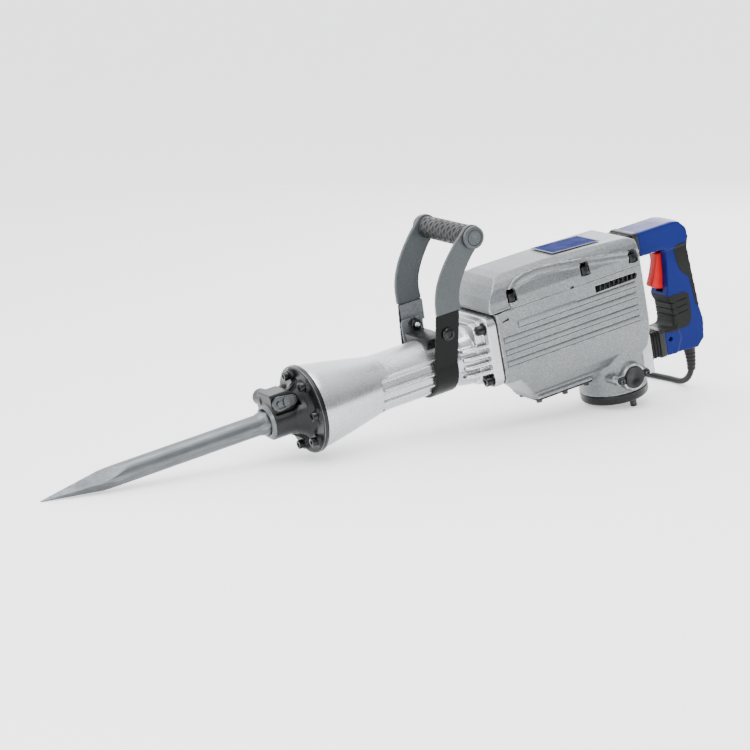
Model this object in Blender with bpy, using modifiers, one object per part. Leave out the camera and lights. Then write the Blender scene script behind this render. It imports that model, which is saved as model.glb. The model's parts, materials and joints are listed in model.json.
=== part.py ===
"""Electric demolition hammer with a bull point chisel, lying on its nose and its motor cover.

The pieces are modelled in the tool's own frame: X runs along the striking axis from the
chisel (-X) to the rear handle (+X), Y is across the tool and Z is up through the side handle.
The frame's origin is on the striking axis, in the rear plane of the front flange. An empty
pitches that frame so that the chisel tip and the two motor cover bolts stand on the floor.
Every length is in metres.
"""

import math

import bmesh
import bpy
from mathutils import Matrix, Vector

GAP = 0.0003  # clearance between touching pieces

# Driving dimensions
TIP_X, TIP_BLUNT = -0.384, 0.0008  # chisel point and its half height
FLANGE_RADIUS = 0.060
BARREL_RADIUS = 0.0385
HALF_WIDTH = 0.055  # main housing
SEAM_X = 0.275  # cylinder case to main housing
WALL = 0.0045
MOTOR_X = 0.478  # vertical motor axis
MOTOR_RADIUS = 0.048
COVER_TOP, COVER_LOW = -0.121, -0.134  # motor cover
COVER_BOLT = Vector((0.484, 0.035, -0.146))  # middle of a cover bolt's lowest face
BOLT_HEAD = 0.005  # its radius
CRANK_X, CRANK_THROW = 0.372, 0.016
ROD_LENGTH = 0.120
WRIST_X = CRANK_X - CRANK_THROW - ROD_LENGTH
IDLER_X = 0.428
BORE = 0.0205  # cylinder liner
HEX_FLAT = 0.0150  # half the chisel shank's width across flats
LEVER_X, LEVER_Z = -0.047, 0.025
CLAMP_X = 0.195  # side handle clamp
GRIP_X, GRIP_Z = 0.256, 0.170
BRUSH_Z = -0.0975
CORD_DIAMETER = 0.009
BOOT_TOP = Vector((0.616, 0.0, -0.104))  # cord exit
COIL_CENTRE = Vector((0.4286, 0.170, 0.0))  # on the floor
COIL_INNER, COIL_OUTER, COIL_HEIGHT = 0.0333, 0.0607, 0.0276

PITCH = math.atan2(-COVER_BOLT.z - TIP_BLUNT, COVER_BOLT.x - BOLT_HEAD - TIP_X)
BOX_CENTRE_X = 0.13383  # middle of the tool's length on the floor
RISE = TIP_BLUNT * math.cos(PITCH) - TIP_X * math.sin(PITCH)

MATERIALS = {  # colour, metallic, roughness
    "cast_silver": ((0.60, 0.61, 0.62), 0.7, 0.45),
    "black_cast": ((0.03, 0.03, 0.03), 0.4, 0.5),
    "black_steel": ((0.02, 0.02, 0.02), 0.7, 0.4),
    "steel": ((0.45, 0.46, 0.47), 1.0, 0.35),
    "copper": ((0.70, 0.33, 0.18), 1.0, 0.4),
    "strap": ((0.02, 0.02, 0.022), 0.1, 0.45),
    "sleeve": ((0.10, 0.115, 0.13), 0.0, 0.5),
    "rubber": ((0.06, 0.06, 0.06), 0.0, 0.8),
    "blue_plastic": ((0.02, 0.05, 0.36), 0.0, 0.35),
    "red_plastic": ((0.65, 0.02, 0.02), 0.0, 0.35),
    "black_plastic": ((0.02, 0.02, 0.02), 0.0, 0.4),
    "white_plastic": ((0.8, 0.8, 0.78), 0.0, 0.4),
    "bracket_grey": ((0.55, 0.56, 0.57), 0.2, 0.5),
    "cord_rubber": ((0.015, 0.015, 0.015), 0.0, 0.6),
    "carbon": ((0.03, 0.03, 0.03), 0.1, 0.7),
}

PLANES = {  # local axes of a flat outline: its x, its y and its thickness
    "XZ": (Vector((1, 0, 0)), Vector((0, 0, 1)), Vector((0, -1, 0))),
    "YZ": (Vector((0, 1, 0)), Vector((0, 0, 1)), Vector((1, 0, 0))),
    "XY": (Vector((1, 0, 0)), Vector((0, 1, 0)), Vector((0, 0, 1))),
}


def clear_scene():
    for old in list(bpy.data.objects):
        bpy.data.objects.remove(old, do_unlink=True)


def make_material(name):
    if name in bpy.data.materials:
        return bpy.data.materials[name]
    colour, metallic, roughness = MATERIALS[name]
    material = bpy.data.materials.new(name)
    material.use_nodes = True
    shader = material.node_tree.nodes["Principled BSDF"]
    shader.inputs["Base Color"].default_value = (*colour, 1.0)
    shader.inputs["Metallic"].default_value = metallic
    shader.inputs["Roughness"].default_value = roughness
    return material


clear_scene()
PARTS = bpy.data.collections.new("demolition_hammer")
CUTTERS = bpy.data.collections.new("cutters")
for group in (PARTS, CUTTERS):
    bpy.context.scene.collection.children.link(group)
TOOL = bpy.data.objects.new("tool_axis", None)
TOOL.rotation_euler = (0.0, -PITCH, 0.0)
TOOL.location = (-BOX_CENTRE_X, 0.0, RISE)
PARTS.objects.link(TOOL)
TOOL_FRAME = Matrix.Translation(TOOL.location) @ Matrix.Rotation(-PITCH, 4, "Y")


def frame_of(along, origin=(0, 0, 0)):
    """A frame whose Z runs along a direction and whose X stays level or points up."""
    z_axis = Vector(along).normalized()
    helper = Vector((0, 1, 0)) if abs(z_axis.y) < 0.9 else Vector((1, 0, 0))
    x_axis = helper.cross(z_axis).normalized()
    y_axis = z_axis.cross(x_axis)
    frame = Matrix((x_axis, y_axis, z_axis)).transposed().to_4x4()
    return Matrix.Translation(Vector(origin)) @ frame


def add(name, mesh, frame, finish=None, on_floor=False):
    """Places a mesh in the tool's frame, as a part if it has a finish and as a guide if not."""
    piece = bpy.data.objects.new(name, mesh)
    (PARTS if finish else CUTTERS).objects.link(piece)
    if finish:
        mesh.materials.clear()
        mesh.materials.append(make_material(finish))
    else:
        piece.hide_render = True
        piece.display_type = "WIRE"
    if not on_floor:
        piece.parent = TOOL
    piece.matrix_local = frame
    return piece


def mesh_of(curve_object):
    """The evaluated mesh of a curve object, with its caps welded; the curve is removed."""
    graph = bpy.context.evaluated_depsgraph_get()
    mesh = bpy.data.meshes.new_from_object(curve_object.evaluated_get(graph))
    bpy.data.objects.remove(curve_object, do_unlink=True)
    shape = bmesh.new()
    shape.from_mesh(mesh)
    bmesh.ops.remove_doubles(shape, verts=shape.verts, dist=0.00001)
    shape.to_mesh(mesh)
    shape.free()
    return mesh


def smooth(piece, angle=35):
    piece.data.shade_smooth()
    piece.data.set_sharp_from_angle(angle=math.radians(angle))
    return piece


def bevel(piece, width, segments=2, angle=30):
    edge = piece.modifiers.new("rounded edges", "BEVEL")
    edge.width = width
    edge.segments = segments
    edge.limit_method = "ANGLE"
    edge.angle_limit = math.radians(angle)
    return piece


def boolean(piece, other, operation):
    step = piece.modifiers.new(f"{operation.lower()} {other.name}", "BOOLEAN")
    step.operation = operation
    step.object = other
    step.solver = "EXACT"
    return piece


def cut(piece, *others):
    for other in others:
        boolean(piece, other, "DIFFERENCE")
    return piece


def join(piece, *others):
    for other in others:
        boolean(piece, other, "UNION")
    return piece


def prism(name, outline, plane, low, high, finish=None):
    """A flat outline in one of the tool's planes, given thickness from low to high."""
    curve = bpy.data.curves.new(name, "CURVE")
    curve.dimensions = "2D"
    curve.fill_mode = "BOTH"
    curve.extrude = (high - low) / 2
    spline = curve.splines.new("POLY")
    spline.points.add(len(outline) - 1)
    for point, (across, up) in zip(spline.points, outline):
        point.co = (across, up, 0, 1)
    spline.use_cyclic_u = True
    flat = bpy.data.objects.new(name, curve)
    bpy.context.scene.collection.objects.link(flat)
    x_axis, y_axis, z_axis = PLANES[plane]
    frame = Matrix((x_axis, y_axis, z_axis)).transposed().to_4x4()
    middle = z_axis * (low + high) / 2
    if plane == "XZ":
        middle = Vector((0, (low + high) / 2, 0))
    return add(name, mesh_of(flat), Matrix.Translation(middle) @ frame, finish)


def box(name, low, high, finish=None):
    shape = bmesh.new()
    bmesh.ops.create_cube(shape, size=1.0)
    low, high = Vector(low), Vector(high)
    bmesh.ops.scale(shape, vec=high - low, verts=shape.verts)
    mesh = bpy.data.meshes.new(name)
    shape.to_mesh(mesh)
    shape.free()
    return add(name, mesh, Matrix.Translation((low + high) / 2), finish)


def cylinder(name, start, end, radius, finish=None, sides=20, end_radius=None, spin=0.0):
    start, end = Vector(start), Vector(end)
    shape = bmesh.new()
    bmesh.ops.create_cone(
        shape,
        cap_ends=True,
        segments=sides,
        radius1=radius,
        radius2=radius if end_radius is None else end_radius,
        depth=(end - start).length,
    )
    bmesh.ops.rotate(shape, cent=(0, 0, 0), matrix=Matrix.Rotation(spin, 3, "Z"), verts=shape.verts)
    mesh = bpy.data.meshes.new(name)
    shape.to_mesh(mesh)
    shape.free()
    return smooth(add(name, mesh, frame_of(end - start, (start + end) / 2), finish))


def turned(name, profile, along, origin, finish=None, sides=24, on_floor=False):
    """A profile of (radius, height) pairs, from top to bottom outside, turned about a line."""
    mesh = bpy.data.meshes.new(name)
    closed = profile[0][0] > 0
    edges = [(i, i + 1) for i in range(len(profile) - 1)]
    if closed:
        edges.append((len(profile) - 1, 0))
    mesh.from_pydata([(radius, 0, height) for radius, height in profile], edges, [])
    piece = add(name, mesh, frame_of(along, origin), finish, on_floor)
    screw = piece.modifiers.new("turned", "SCREW")
    screw.steps = screw.render_steps = sides
    screw.use_merge_vertices = True
    screw.merge_threshold = 0.00001
    screw.use_smooth_shade = True
    return piece


def ring(name, start, end, outer, inner, finish=None, sides=24):
    """A plain sleeve between two points."""
    start, end = Vector(start), Vector(end)
    height = (end - start).length
    profile = [(outer, height), (outer, 0), (inner, 0), (inner, height)]
    return turned(name, profile, end - start, start, finish, sides)


def bolt(name, seat, along, head, shank, finish, host):
    """A cap screw in a hole drilled in its host: its head stands on the seat along a direction."""
    head_radius, head_height = head
    shank_radius, shank_length = shank
    seat, along = Vector(seat), Vector(along)
    low = seat - along * (shank_length + 0.001)
    cut(host, cylinder(f"hole {name}", low, seat + along * 0.0008, shank_radius + GAP, sides=12))
    profile = [
        (0, head_height),
        (head_radius, head_height),
        (head_radius, GAP),
        (shank_radius, GAP),
        (shank_radius, -shank_length),
        (0, -shank_length),
    ]
    return turned(name, profile, along, seat, finish, 12)


def arc(centre, radius, start, end, steps):
    """Points along an arc, angles in degrees."""
    points = []
    for step in range(steps + 1):
        angle = math.radians(start + (end - start) * step / steps)
        points.append((centre[0] + radius * math.cos(angle), centre[1] + radius * math.sin(angle)))
    return points


def rounded_box_outline(low, high, radius, steps=3):
    (x0, y0), (x1, y1) = low, high
    return (
        arc((x1 - radius, y0 + radius), radius, -90, 0, steps)
        + arc((x1 - radius, y1 - radius), radius, 0, 90, steps)
        + arc((x0 + radius, y1 - radius), radius, 90, 180, steps)
        + arc((x0 + radius, y0 + radius), radius, 180, 270, steps)
    )


# ---------------------------------------------------------------- chisel and tool holder


def build_chisel():
    body = 0.014
    collar_x, shank_x, shank_end = -0.072, -0.062, 0.026
    facet_end = -0.262
    bar = turned(
        "chisel",
        [(0, 0.380), (body, 0.380), (body, 0.058), (0, 0.058)],
        (-1, 0, 0),
        (-0.010, 0, 0),
        "steel",
        24,
    )
    collar = cylinder("chisel collar", (shank_x, 0, 0), (collar_x, 0, 0), 0.0165, None, 24, body)
    corner = HEX_FLAT / math.cos(math.radians(30))
    shank = cylinder("hex shank", (shank_x - 0.002, 0, 0), (shank_end, 0, 0), corner, None, 6)
    join(bar, collar, shank)
    half = body / (facet_end - TIP_X)
    length = 0.060 - TIP_X
    base = half * length * math.sqrt(2)
    point = cylinder("square point", (TIP_X, 0, 0), (0.060, 0, 0), TIP_BLUNT, None, 4, base)
    boolean(bar, point, "INTERSECT")
    notch = box("lever notch", (-0.058, -0.02, HEX_FLAT - 0.0035), (-0.014, 0.02, 0.03))
    cut(bar, notch)


def build_tool_holder():
    hub, lip = 0.0255, -0.058
    profile = [
        (FLANGE_RADIUS, 0),
        (FLANGE_RADIUS, -0.011),
        (0.040, -0.011),
        (0.032, -0.016),
        (0.030, -0.024),
        (hub, -0.030),
        (hub, lip),
        (0.005, lip),
        (0.005, 0),
    ]
    holder = turned("tool_holder", profile, (1, 0, 0), (0, 0, 0), "black_cast", 36)
    outline = [
        (-0.0250, 0.0),
        (0.0250, 0.0),
        (0.0235, 0.028),
        (0.0170, 0.038),
        (-0.0170, 0.038),
        (-0.0235, 0.028),
    ]
    block = prism("holder block", outline, "YZ", -0.0575, -0.0150)
    join(holder, block)
    flat = box("lever flat", (-0.070, -0.040, 0.006), (-0.0185, -0.0185, 0.060))
    corner = (HEX_FLAT + GAP) / math.cos(math.radians(30))
    bore = cylinder("hex bore", (-0.070, 0, 0), (0.010, 0, 0), corner, None, 6)
    cross = cylinder(
        "lever hole", (LEVER_X, -0.050, LEVER_Z), (LEVER_X, 0.018, LEVER_Z), 0.0095 + GAP
    )
    small = cylinder("lever pilot", (LEVER_X, 0, LEVER_Z), (LEVER_X, 0.050, LEVER_Z), 0.0075 + GAP)
    cut(holder, flat, bore, cross, small)


def build_stop_lever():
    pin = cylinder(
        "stop_lever", (LEVER_X, -0.0240, LEVER_Z), (LEVER_X, 0.0177, LEVER_Z), 0.0095, "steel"
    )
    tail = cylinder(
        "lever tail", (LEVER_X, 0.010, LEVER_Z), (LEVER_X, 0.0345, LEVER_Z), 0.0075, end_radius=0.0072
    )
    reach = 0.021
    outline = arc((LEVER_X, LEVER_Z), 0.0098, 90, 270, 8) + arc(
        (LEVER_X + reach, LEVER_Z), 0.0070, -90, 90, 6
    )
    arm = prism("lever arm", outline, "XZ", -0.0235, -0.0188)
    join(pin, tail, arm)
    relief = box(
        "cam flat", (LEVER_X - 0.02, -0.016, LEVER_Z + 0.0045), (LEVER_X + 0.02, 0.016, LEVER_Z + 0.02)
    )
    cut(pin, relief)


# ---------------------------------------------------------------- cylinder case and hammer works


def case_profile():
    """The cast barrel's outside, from the front flange back."""
    return [
        (0.0570, 0.0003),
        (0.0563, 0.010),
        (0.0530, 0.030),
        (0.0500, 0.050),
        (0.0460, 0.070),
        (0.0415, 0.090),
        (0.0392, 0.100),
        (BARREL_RADIUS, 0.112),
        (BARREL_RADIUS, 0.218),
        (0.0430, 0.236),
        (0.0450, 0.262),
    ]


def build_cylinder_case():
    outer = [(radius, -x) for radius, x in case_profile()]
    bore = [(0.0250, -0.262), (0.0250, -0.060), (0.0340, -0.060), (0.0340, -0.0003)]
    case = turned("cylinder_case", outer + bore, (-1, 0, 0), (0, 0, 0), "cast_silver", 36)
    rear = prism(
        "case flange",
        rounded_box_outline((-HALF_WIDTH, -0.046), (HALF_WIDTH, 0.054), 0.016),
        "YZ",
        0.257,
        SEAM_X,
    )
    fins = []
    for height in (-0.0160, -0.0055, 0.0050, 0.0155):
        fins.append(box(f"fin {height}", (0.230, -0.051, height - 0.0025), (0.260, 0.051, height + 0.0025)))
    join(case, rear, *fins)
    through = cylinder("case bore", (0.222, 0, 0), (0.290, 0, 0), 0.0256, None, 36)
    cut(case, through)


def build_hammer_works():
    ring("tool_sleeve", (0.0006, 0, 0), (0.0597, 0, 0), 0.0337, 0.0185, "steel")
    ring("damper_ring", (0.0606, 0, 0), (0.0720, 0, 0), BORE - GAP, 0.0145, "rubber", 24)
    bolt_profile = [(0, 0), (0.0170, 0), (0.0170, -0.0255), (0.0140, -0.0255), (0.0140, -0.0865), (0, -0.0865)]
    turned("impact_bolt", bolt_profile, (-1, 0, 0), (0.0265, 0, 0), "steel", 24)
    ring("cylinder_liner", (0.0603, 0, 0), (0.290, 0, 0), 0.0247, BORE, "steel")
    cylinder("striker", (0.120, 0, 0), (0.170, 0, 0), BORE - GAP, "steel", 32)
    piston_back = WRIST_X + 0.017
    cup = [
        (0, 0),
        (BORE - GAP, 0),
        (BORE - GAP, 0.203 - piston_back),
        (0.0160, 0.203 - piston_back),
        (0.0160, -0.016),
        (0, -0.016),
    ]
    piston = turned("piston", cup, (-1, 0, 0), (0.203, 0, 0), "steel", 32)
    hole = cylinder("wrist hole", (WRIST_X, 0, -0.03), (WRIST_X, 0, 0.03), 0.0045 + GAP, None, 16)
    cut(piston, hole)
    cylinder("wrist_pin", (WRIST_X, 0, -0.0185), (WRIST_X, 0, 0.0185), 0.0045, "steel", 16)


def build_connecting_rod():
    big_x = WRIST_X + ROD_LENGTH
    shank = box("connecting_rod", (WRIST_X + 0.006, -0.0050, -0.0055), (big_x - 0.008, 0.0050, 0.0055), "steel")
    small_eye = cylinder("small eye", (WRIST_X, 0, -0.007), (WRIST_X, 0, 0.007), 0.0092)
    big_eye = cylinder("big eye", (big_x, 0, -0.007), (big_x, 0, 0.007), 0.0130)
    pin = cylinder("crank pin", (big_x, 0, 0.000), (big_x, 0, 0.0136), 0.0070)
    join(shank, small_eye, big_eye, pin)
    cut(shank, cylinder("pin eye", (WRIST_X, 0, -0.02), (WRIST_X, 0, 0.02), 0.0045 + GAP, None, 16))


# ---------------------------------------------------------------- gear train and motor


def gear(name, x, low, high, tip_radius, bore_radius, teeth, finish="steel"):
    """A spur gear about an upright shaft; its teeth are trapezoids."""
    depth = 0.0016
    step = 2 * math.pi / teeth
    outline = []
    for tooth in range(teeth):
        for share, radius in ((0.0, tip_radius - depth), (0.25, tip_radius - depth), (0.40, tip_radius), (0.85, tip_radius)):
            angle = (tooth + share) * step
            outline.append((x + radius * math.cos(angle), radius * math.sin(angle)))
    wheel = prism(name, outline, "XY", low, high, finish)
    cut(wheel, cylinder(f"bore {name}", (x, 0, low - 0.01), (x, 0, high + 0.01), bore_radius + GAP))
    return wheel


def build_gear_train():
    shaft = cylinder("crankshaft", (CRANK_X, 0, 0.0140), (CRANK_X, 0, 0.0235), 0.0300, "steel", 32)
    journal = cylinder("crank journal", (CRANK_X, 0, 0.020), (CRANK_X, 0, 0.072), 0.0100)
    join(shaft, journal)
    gear("crank_gear", CRANK_X, 0.0500, 0.0620, 0.0410, 0.0100, 41)
    idler = gear("idler_gear", IDLER_X, 0.0655, 0.0750, 0.0412, 0.0040, 39)
    pinion = gear("idler pinion", IDLER_X, 0.0490, 0.0660, 0.0147, 0.0040, 15, None)
    join(idler, pinion, cylinder("idler shaft", (IDLER_X, 0, 0.0400), (IDLER_X, 0, 0.0840), 0.0060, None, 16))
    plate = prism(
        "bearing_plate",
        rounded_box_outline((0.320, -0.0500), (0.5125, 0.0500), 0.010),
        "XY",
        0.0270,
        0.0370,
        "cast_silver",
    )
    bores = [(CRANK_X, 0.0203), (MOTOR_X, 0.0163)]
    for x, radius in bores:
        cut(plate, cylinder(f"plate bore {x}", (x, 0, 0.02), (x, 0, 0.05), radius))


def build_motor():
    low, high = -0.128, 0.0800
    shaft = cylinder("armature_shaft", (MOTOR_X, 0, low), (MOTOR_X, 0, high), 0.0060, "steel", 16)
    inner = 0.0060 + GAP
    join(shaft, gear("motor pinion", MOTOR_X, 0.0650, 0.0770, 0.0085, 0.0040, 8, None))
    ring("armature_core", (MOTOR_X, 0, -0.068), (MOTOR_X, 0, -0.014), 0.0214, inner, "steel", 24)
    ring("commutator", (MOTOR_X, 0, -0.108), (MOTOR_X, 0, -0.088), 0.0160, inner, "copper", 24)
    ring("field_stator", (MOTOR_X, 0, -0.070), (MOTOR_X, 0, -0.012), 0.0320, 0.0222, "steel", 32)
    ring("crank_bearing", (CRANK_X, 0, 0.0265), (CRANK_X, 0, 0.0375), 0.0200, 0.0100 + GAP, "steel", 24)
    ring("upper_bearing", (MOTOR_X, 0, 0.0275), (MOTOR_X, 0, 0.0365), 0.0160, inner, "steel", 24)
    fan = ring("cooling_fan", (MOTOR_X, 0, 0.000), (MOTOR_X, 0, 0.014), 0.0100, inner, "black_plastic", 24)
    disc = ring("fan disc", (MOTOR_X, 0, 0.000), (MOTOR_X, 0, 0.002), 0.0345, 0.0090)
    join(fan, disc)
    for blade in range(8):
        angle = math.radians(45 * blade + 10)
        start = Vector((MOTOR_X + 0.009 * math.cos(angle), 0.009 * math.sin(angle), 0.0075))
        end = Vector((MOTOR_X + 0.033 * math.cos(angle), 0.033 * math.sin(angle), 0.0075))
        vane = box(f"blade {blade}", (-0.0120, -0.0008, -0.0065), (0.0120, 0.0008, 0.0055))
        vane.matrix_local = Matrix.Translation((start + end) / 2) @ Matrix.Rotation(angle, 4, "Z")
        join(fan, vane)


def brush_block(name, side, half, span, finish=None):
    """A block about a brush's line, from one distance off the motor axis to another."""
    low, high = sorted((side * span[0], side * span[1]))
    return box(
        name,
        (MOTOR_X - half[0], low, BRUSH_Z - half[1]),
        (MOTOR_X + half[0], high, BRUSH_Z + half[1]),
        finish,
    )


def build_brushes(housing):
    """The two brush sets at the sides of the motor case."""
    for side, hand in ((-1, "left"), (1, "right")):

        def at(y, x=MOTOR_X, z=BRUSH_Z, side=side):
            return Vector((x, side * y, z))

        boss = cylinder(f"{hand} brush boss", at(0.030), at(0.0545), 0.0190, None, 24)
        tunnel = cylinder(f"{hand} brush tunnel", at(0.020), at(0.070), 0.0110, None, 24)
        join(housing, boss)
        cut(housing, tunnel)
        cap = cylinder(f"{hand}_brush_cap", at(0.0548), at(0.0600), 0.0163, "black_plastic", 24)
        for ear in (-1, 1):
            spot = MOTOR_X + ear * 0.0213
            lug = cylinder(f"{hand} lug {ear}", at(0.0548, spot), at(0.0590, spot), 0.0058, None, 16)
            join(cap, lug)
            pad = cylinder(f"{hand} pad {ear}", at(0.020, spot), at(0.0545, spot), 0.0066, None, 16)
            join(housing, pad)
        holder = brush_block(f"{hand}_brush_holder", side, (0.0078, 0.0065), (0.0185, 0.0500), "copper")
        cut(holder, brush_block(f"{hand} brush slot", side, (0.0063, 0.0050), (0.0100, 0.0600)))
        brush_block(f"{hand}_carbon_brush", side, (0.0060, 0.0047), (0.0164, 0.0360), "carbon")

# ---------------------------------------------------------------- housing


def body_section(inset):
    """Half of the housing's cross-section: width and height, from the top down."""
    return [
        (0.0320 - inset * 0.5, 0.1010 - inset),
        (0.0455 - inset, 0.0930 - inset * 0.8),
        (0.0515 - inset, 0.0860 - inset * 0.6),
        (HALF_WIDTH - inset, 0.0700),
        (HALF_WIDTH - inset, -0.0250),
        (0.0520 - inset, -0.0450),
        (0.0470 - inset, -0.0620),
        (0.0400 - inset, -0.0740 + inset * 0.5),
        (0.0310 - inset, -0.0790 + inset),
        (0.0300 - inset, -0.0890 - inset * 4),
    ]


def section_prism(name, inset, low, high, finish=None):
    half = body_section(inset)
    outline = half + [(-across, up) for across, up in reversed(half)]
    return prism(name, outline[::-1], "YZ", low, high, finish)


ARCH = [(0.300, 0.0560), (0.302, 0.0790), (0.310, 0.0875), (0.328, 0.0930), (0.361, 0.0945), (0.410, 0.0905), (0.459, 0.0840), (0.501, 0.0775), (0.5185, 0.0750)]


def build_main_housing():
    housing = section_prism("main_housing", 0.0, SEAM_X + GAP, 0.518, "cast_silver")
    side = [
        (0.2745, -0.0460),
        (0.3000, -0.0460),
        (0.3330, -0.0890),
        (0.4290, -0.0890),
        (0.4600, -0.0790),
        (0.5060, -0.0770),
        (0.5150, -0.0640),
        (0.5190, -0.0300),
    ] + [(x, z) for x, z in reversed(ARCH)] + [(0.2745, 0.0540)]
    boolean(housing, prism("side shape", side, "XZ", -0.07, 0.07), "INTERSECT")
    motor_case = cylinder("motor case", (MOTOR_X, 0, -0.060), (MOTOR_X, 0, COVER_TOP), MOTOR_RADIUS, None, 36)
    join(housing, motor_case)
    ribs = []
    for number, (top, low, start) in enumerate(
        ((0.0370, 0.0270, 0.307), (0.0196, 0.0116, 0.281), (0.0020, -0.0056, 0.281), (-0.0140, -0.0217, 0.281))
    ):
        ribs.append(box(f"rib {number}", (start, -HALF_WIDTH - 0.0008, low), (0.503, HALF_WIDTH + 0.0008, top)))
    join(housing, *ribs)
    cavity = section_prism("works space", WALL, SEAM_X + 0.005, 0.5135)
    inner_side = [
        (0.2805, -0.0410),
        (0.3025, -0.0410),
        (0.3355, -0.0840),
        (0.3480, -0.0840),
        (0.3480, -0.1000),
        (0.4150, -0.1000),
        (0.4150, -0.0840),
        (0.4280, -0.0840),
        (0.4590, -0.0740),
        (0.5030, -0.0725),
        (0.5105, -0.0620),
        (0.5140, -0.0300),
        (0.5140, 0.1200),
        (0.2805, 0.1200),
    ]
    boolean(cavity, prism("space side", inner_side, "XZ", -0.06, 0.06), "INTERSECT")
    bore = cylinder("motor bore", (MOTOR_X, 0, -0.050), (MOTOR_X, 0, -0.130), 0.0440, None, 36)
    front = cylinder("liner hole", (0.27, 0, 0), (0.29, 0, 0), 0.0250, None, 36)
    cut(housing, cavity, bore, front)
    for slot in range(8):
        x = 0.4400 + slot * 0.0088
        cut(housing, box(f"vent {slot}", (x, -0.07, 0.0385), (x + 0.0060, 0.07, 0.0455)))
    return housing


def build_gear_cover(housing):
    cover = section_prism("gear_cover", 0.0, 0.262, 0.5185, "cast_silver")
    profile = [
        (0.266, 0.0620),
        (0.268, 0.0563),
    ] + [(0.2997, 0.0563)] + [(x - 0.0003 if z < 0.08 and x < 0.31 else x, z + GAP) for x, z in ARCH[1:]] + [
        (0.5190, 0.0900),
        (0.5100, 0.0950),
        (0.4450, 0.0985),
        (0.3960, 0.1005),
        (0.3470, 0.1020),
        (0.3140, 0.1020),
        (0.2920, 0.0985),
        (0.2800, 0.0900),
        (0.2700, 0.0760),
    ]
    boolean(cover, prism("cover side", profile, "XZ", -0.07, 0.07), "INTERSECT")
    hollow = section_prism("cover space", WALL, 0.2740, 0.5135)
    inner = [
        (0.2740, 0.0400),
        (0.5140, 0.0400),
        (0.5140, 0.0870),
        (0.5050, 0.0905),
        (0.4450, 0.0935),
        (0.3960, 0.0955),
        (0.3470, 0.0965),
        (0.3140, 0.0965),
        (0.2950, 0.0940),
        (0.2840, 0.0860),
        (0.2750, 0.0720),
    ]
    boolean(hollow, prism("space profile", inner, "XZ", -0.06, 0.06), "INTERSECT")
    cut(cover, hollow)
    for x, z in ((0.3115, 0.0660), (0.4320, 0.0690), (0.5085, 0.0610)):
        for side_y in (-1, 1):
            base = Vector((x, side_y * 0.0503, z))
            well = cylinder(f"bolt well {x} {side_y}", base, base + Vector((0, 0, 0.06)), 0.0070, None, 16)
            wall = box(
                f"well wall {x} {side_y}",
                (x - 0.0095, min(side_y * 0.0425, side_y * 0.0535), z - 0.012),
                (x + 0.0095, max(side_y * 0.0425, side_y * 0.0535), z + 0.009),
            )
            join(housing, wall)
            for piece in (housing, cover):
                cut(piece, well)
    plate_x = (0.396, 0.475)
    plate = box("name_plate", (plate_x[0], -0.0270, -0.0003), (plate_x[1], 0.0270, 0.0003), "blue_plastic")
    slope = math.atan2(0.1005 - 0.0985, 0.049)
    plate.matrix_local = Matrix.Translation(((plate_x[0] + plate_x[1]) / 2, 0, 0.1004)) @ Matrix.Rotation(
        slope + 0.012, 4, "Y"
    )


def build_bottom_plates():
    """The grease plate under the crank case and the cover under the motor."""
    low, high = -0.0925, -0.0893
    prism(
        "bottom_plate", rounded_box_outline((0.333, -0.030), (0.4285, 0.030), 0.006), "XY", low, high, "black_cast"
    )
    profile = [
        (0.0470, COVER_TOP - GAP),
        (0.0480, COVER_TOP - 0.0015),
        (0.0480, COVER_LOW + 0.0025),
        (0.0460, COVER_LOW),
        (0.0030, COVER_LOW),
        (0.0030, -0.1290),
        (0.0060 + GAP, -0.1290),
        (0.0060 + GAP, -0.1190),
        (0.0165, -0.1190),
        (0.0165, COVER_TOP - 0.0075),
        (0.0400, COVER_TOP - 0.0075),
        (0.0400, COVER_TOP - GAP),
    ]
    cover = turned("motor_cover", profile, (0, 0, 1), (MOTOR_X, 0, 0), "black_cast", 36)
    head = 0.0120
    for side, hand in ((-1, "left"), (1, "right")):
        seat = (COVER_BOLT.x, side * COVER_BOLT.y, COVER_BOLT.z + head)
        bolt(f"motor_cover_bolt_{hand}", seat, (0, 0, -1), (BOLT_HEAD, head), (0.0025, 0.0030), "black_steel", cover)


# ---------------------------------------------------------------- side handle


def strap_outline():
    """The clamp strap: round under the barrel, then up both sides."""
    inner, thick = BARREL_RADIUS + GAP, 0.0036
    rise = [(0.0388, 0.006), (0.0445, 0.048), (0.0475, 0.0780)]
    outside = [(across + thick, up) for across, up in rise]
    under = arc((0, 0), inner, -180, 0, 14)
    over = arc((0, 0), inner + thick, 0, -180, 14)
    left = [(-across, up) for across, up in rise]
    left_out = [(-across, up) for across, up in outside]
    return left[::-1] + under[:] + rise + outside[::-1] + over[:] + left_out


def arm_outline(widen):
    """A side arm's outline, from its foot on the strap to the eye round the grip."""
    line = [
        (0.2065, 0.0783, 0.0185),
        (0.2065, 0.0930, 0.0183),
        (0.2095, 0.1080, 0.0178),
        (0.2165, 0.1240, 0.0172),
        (0.2290, 0.1420, 0.0166),
        (0.2420, 0.1575, 0.0160),
    ]
    front, back = [], []
    for number, (x, z, half) in enumerate(line):
        before = line[max(number - 1, 0)]
        after = line[min(number + 1, len(line) - 1)]
        direction = Vector((after[0] - before[0], after[1] - before[1])).normalized()
        across = Vector((-direction.y, direction.x)) * (half + widen)
        front.append((x + across.x, z + across.y))
        back.append((x - across.x, z - across.y))
    eye = arc((GRIP_X, GRIP_Z), 0.0165 + widen, -40, 125, 7)
    return back + eye + front[::-1]


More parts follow.
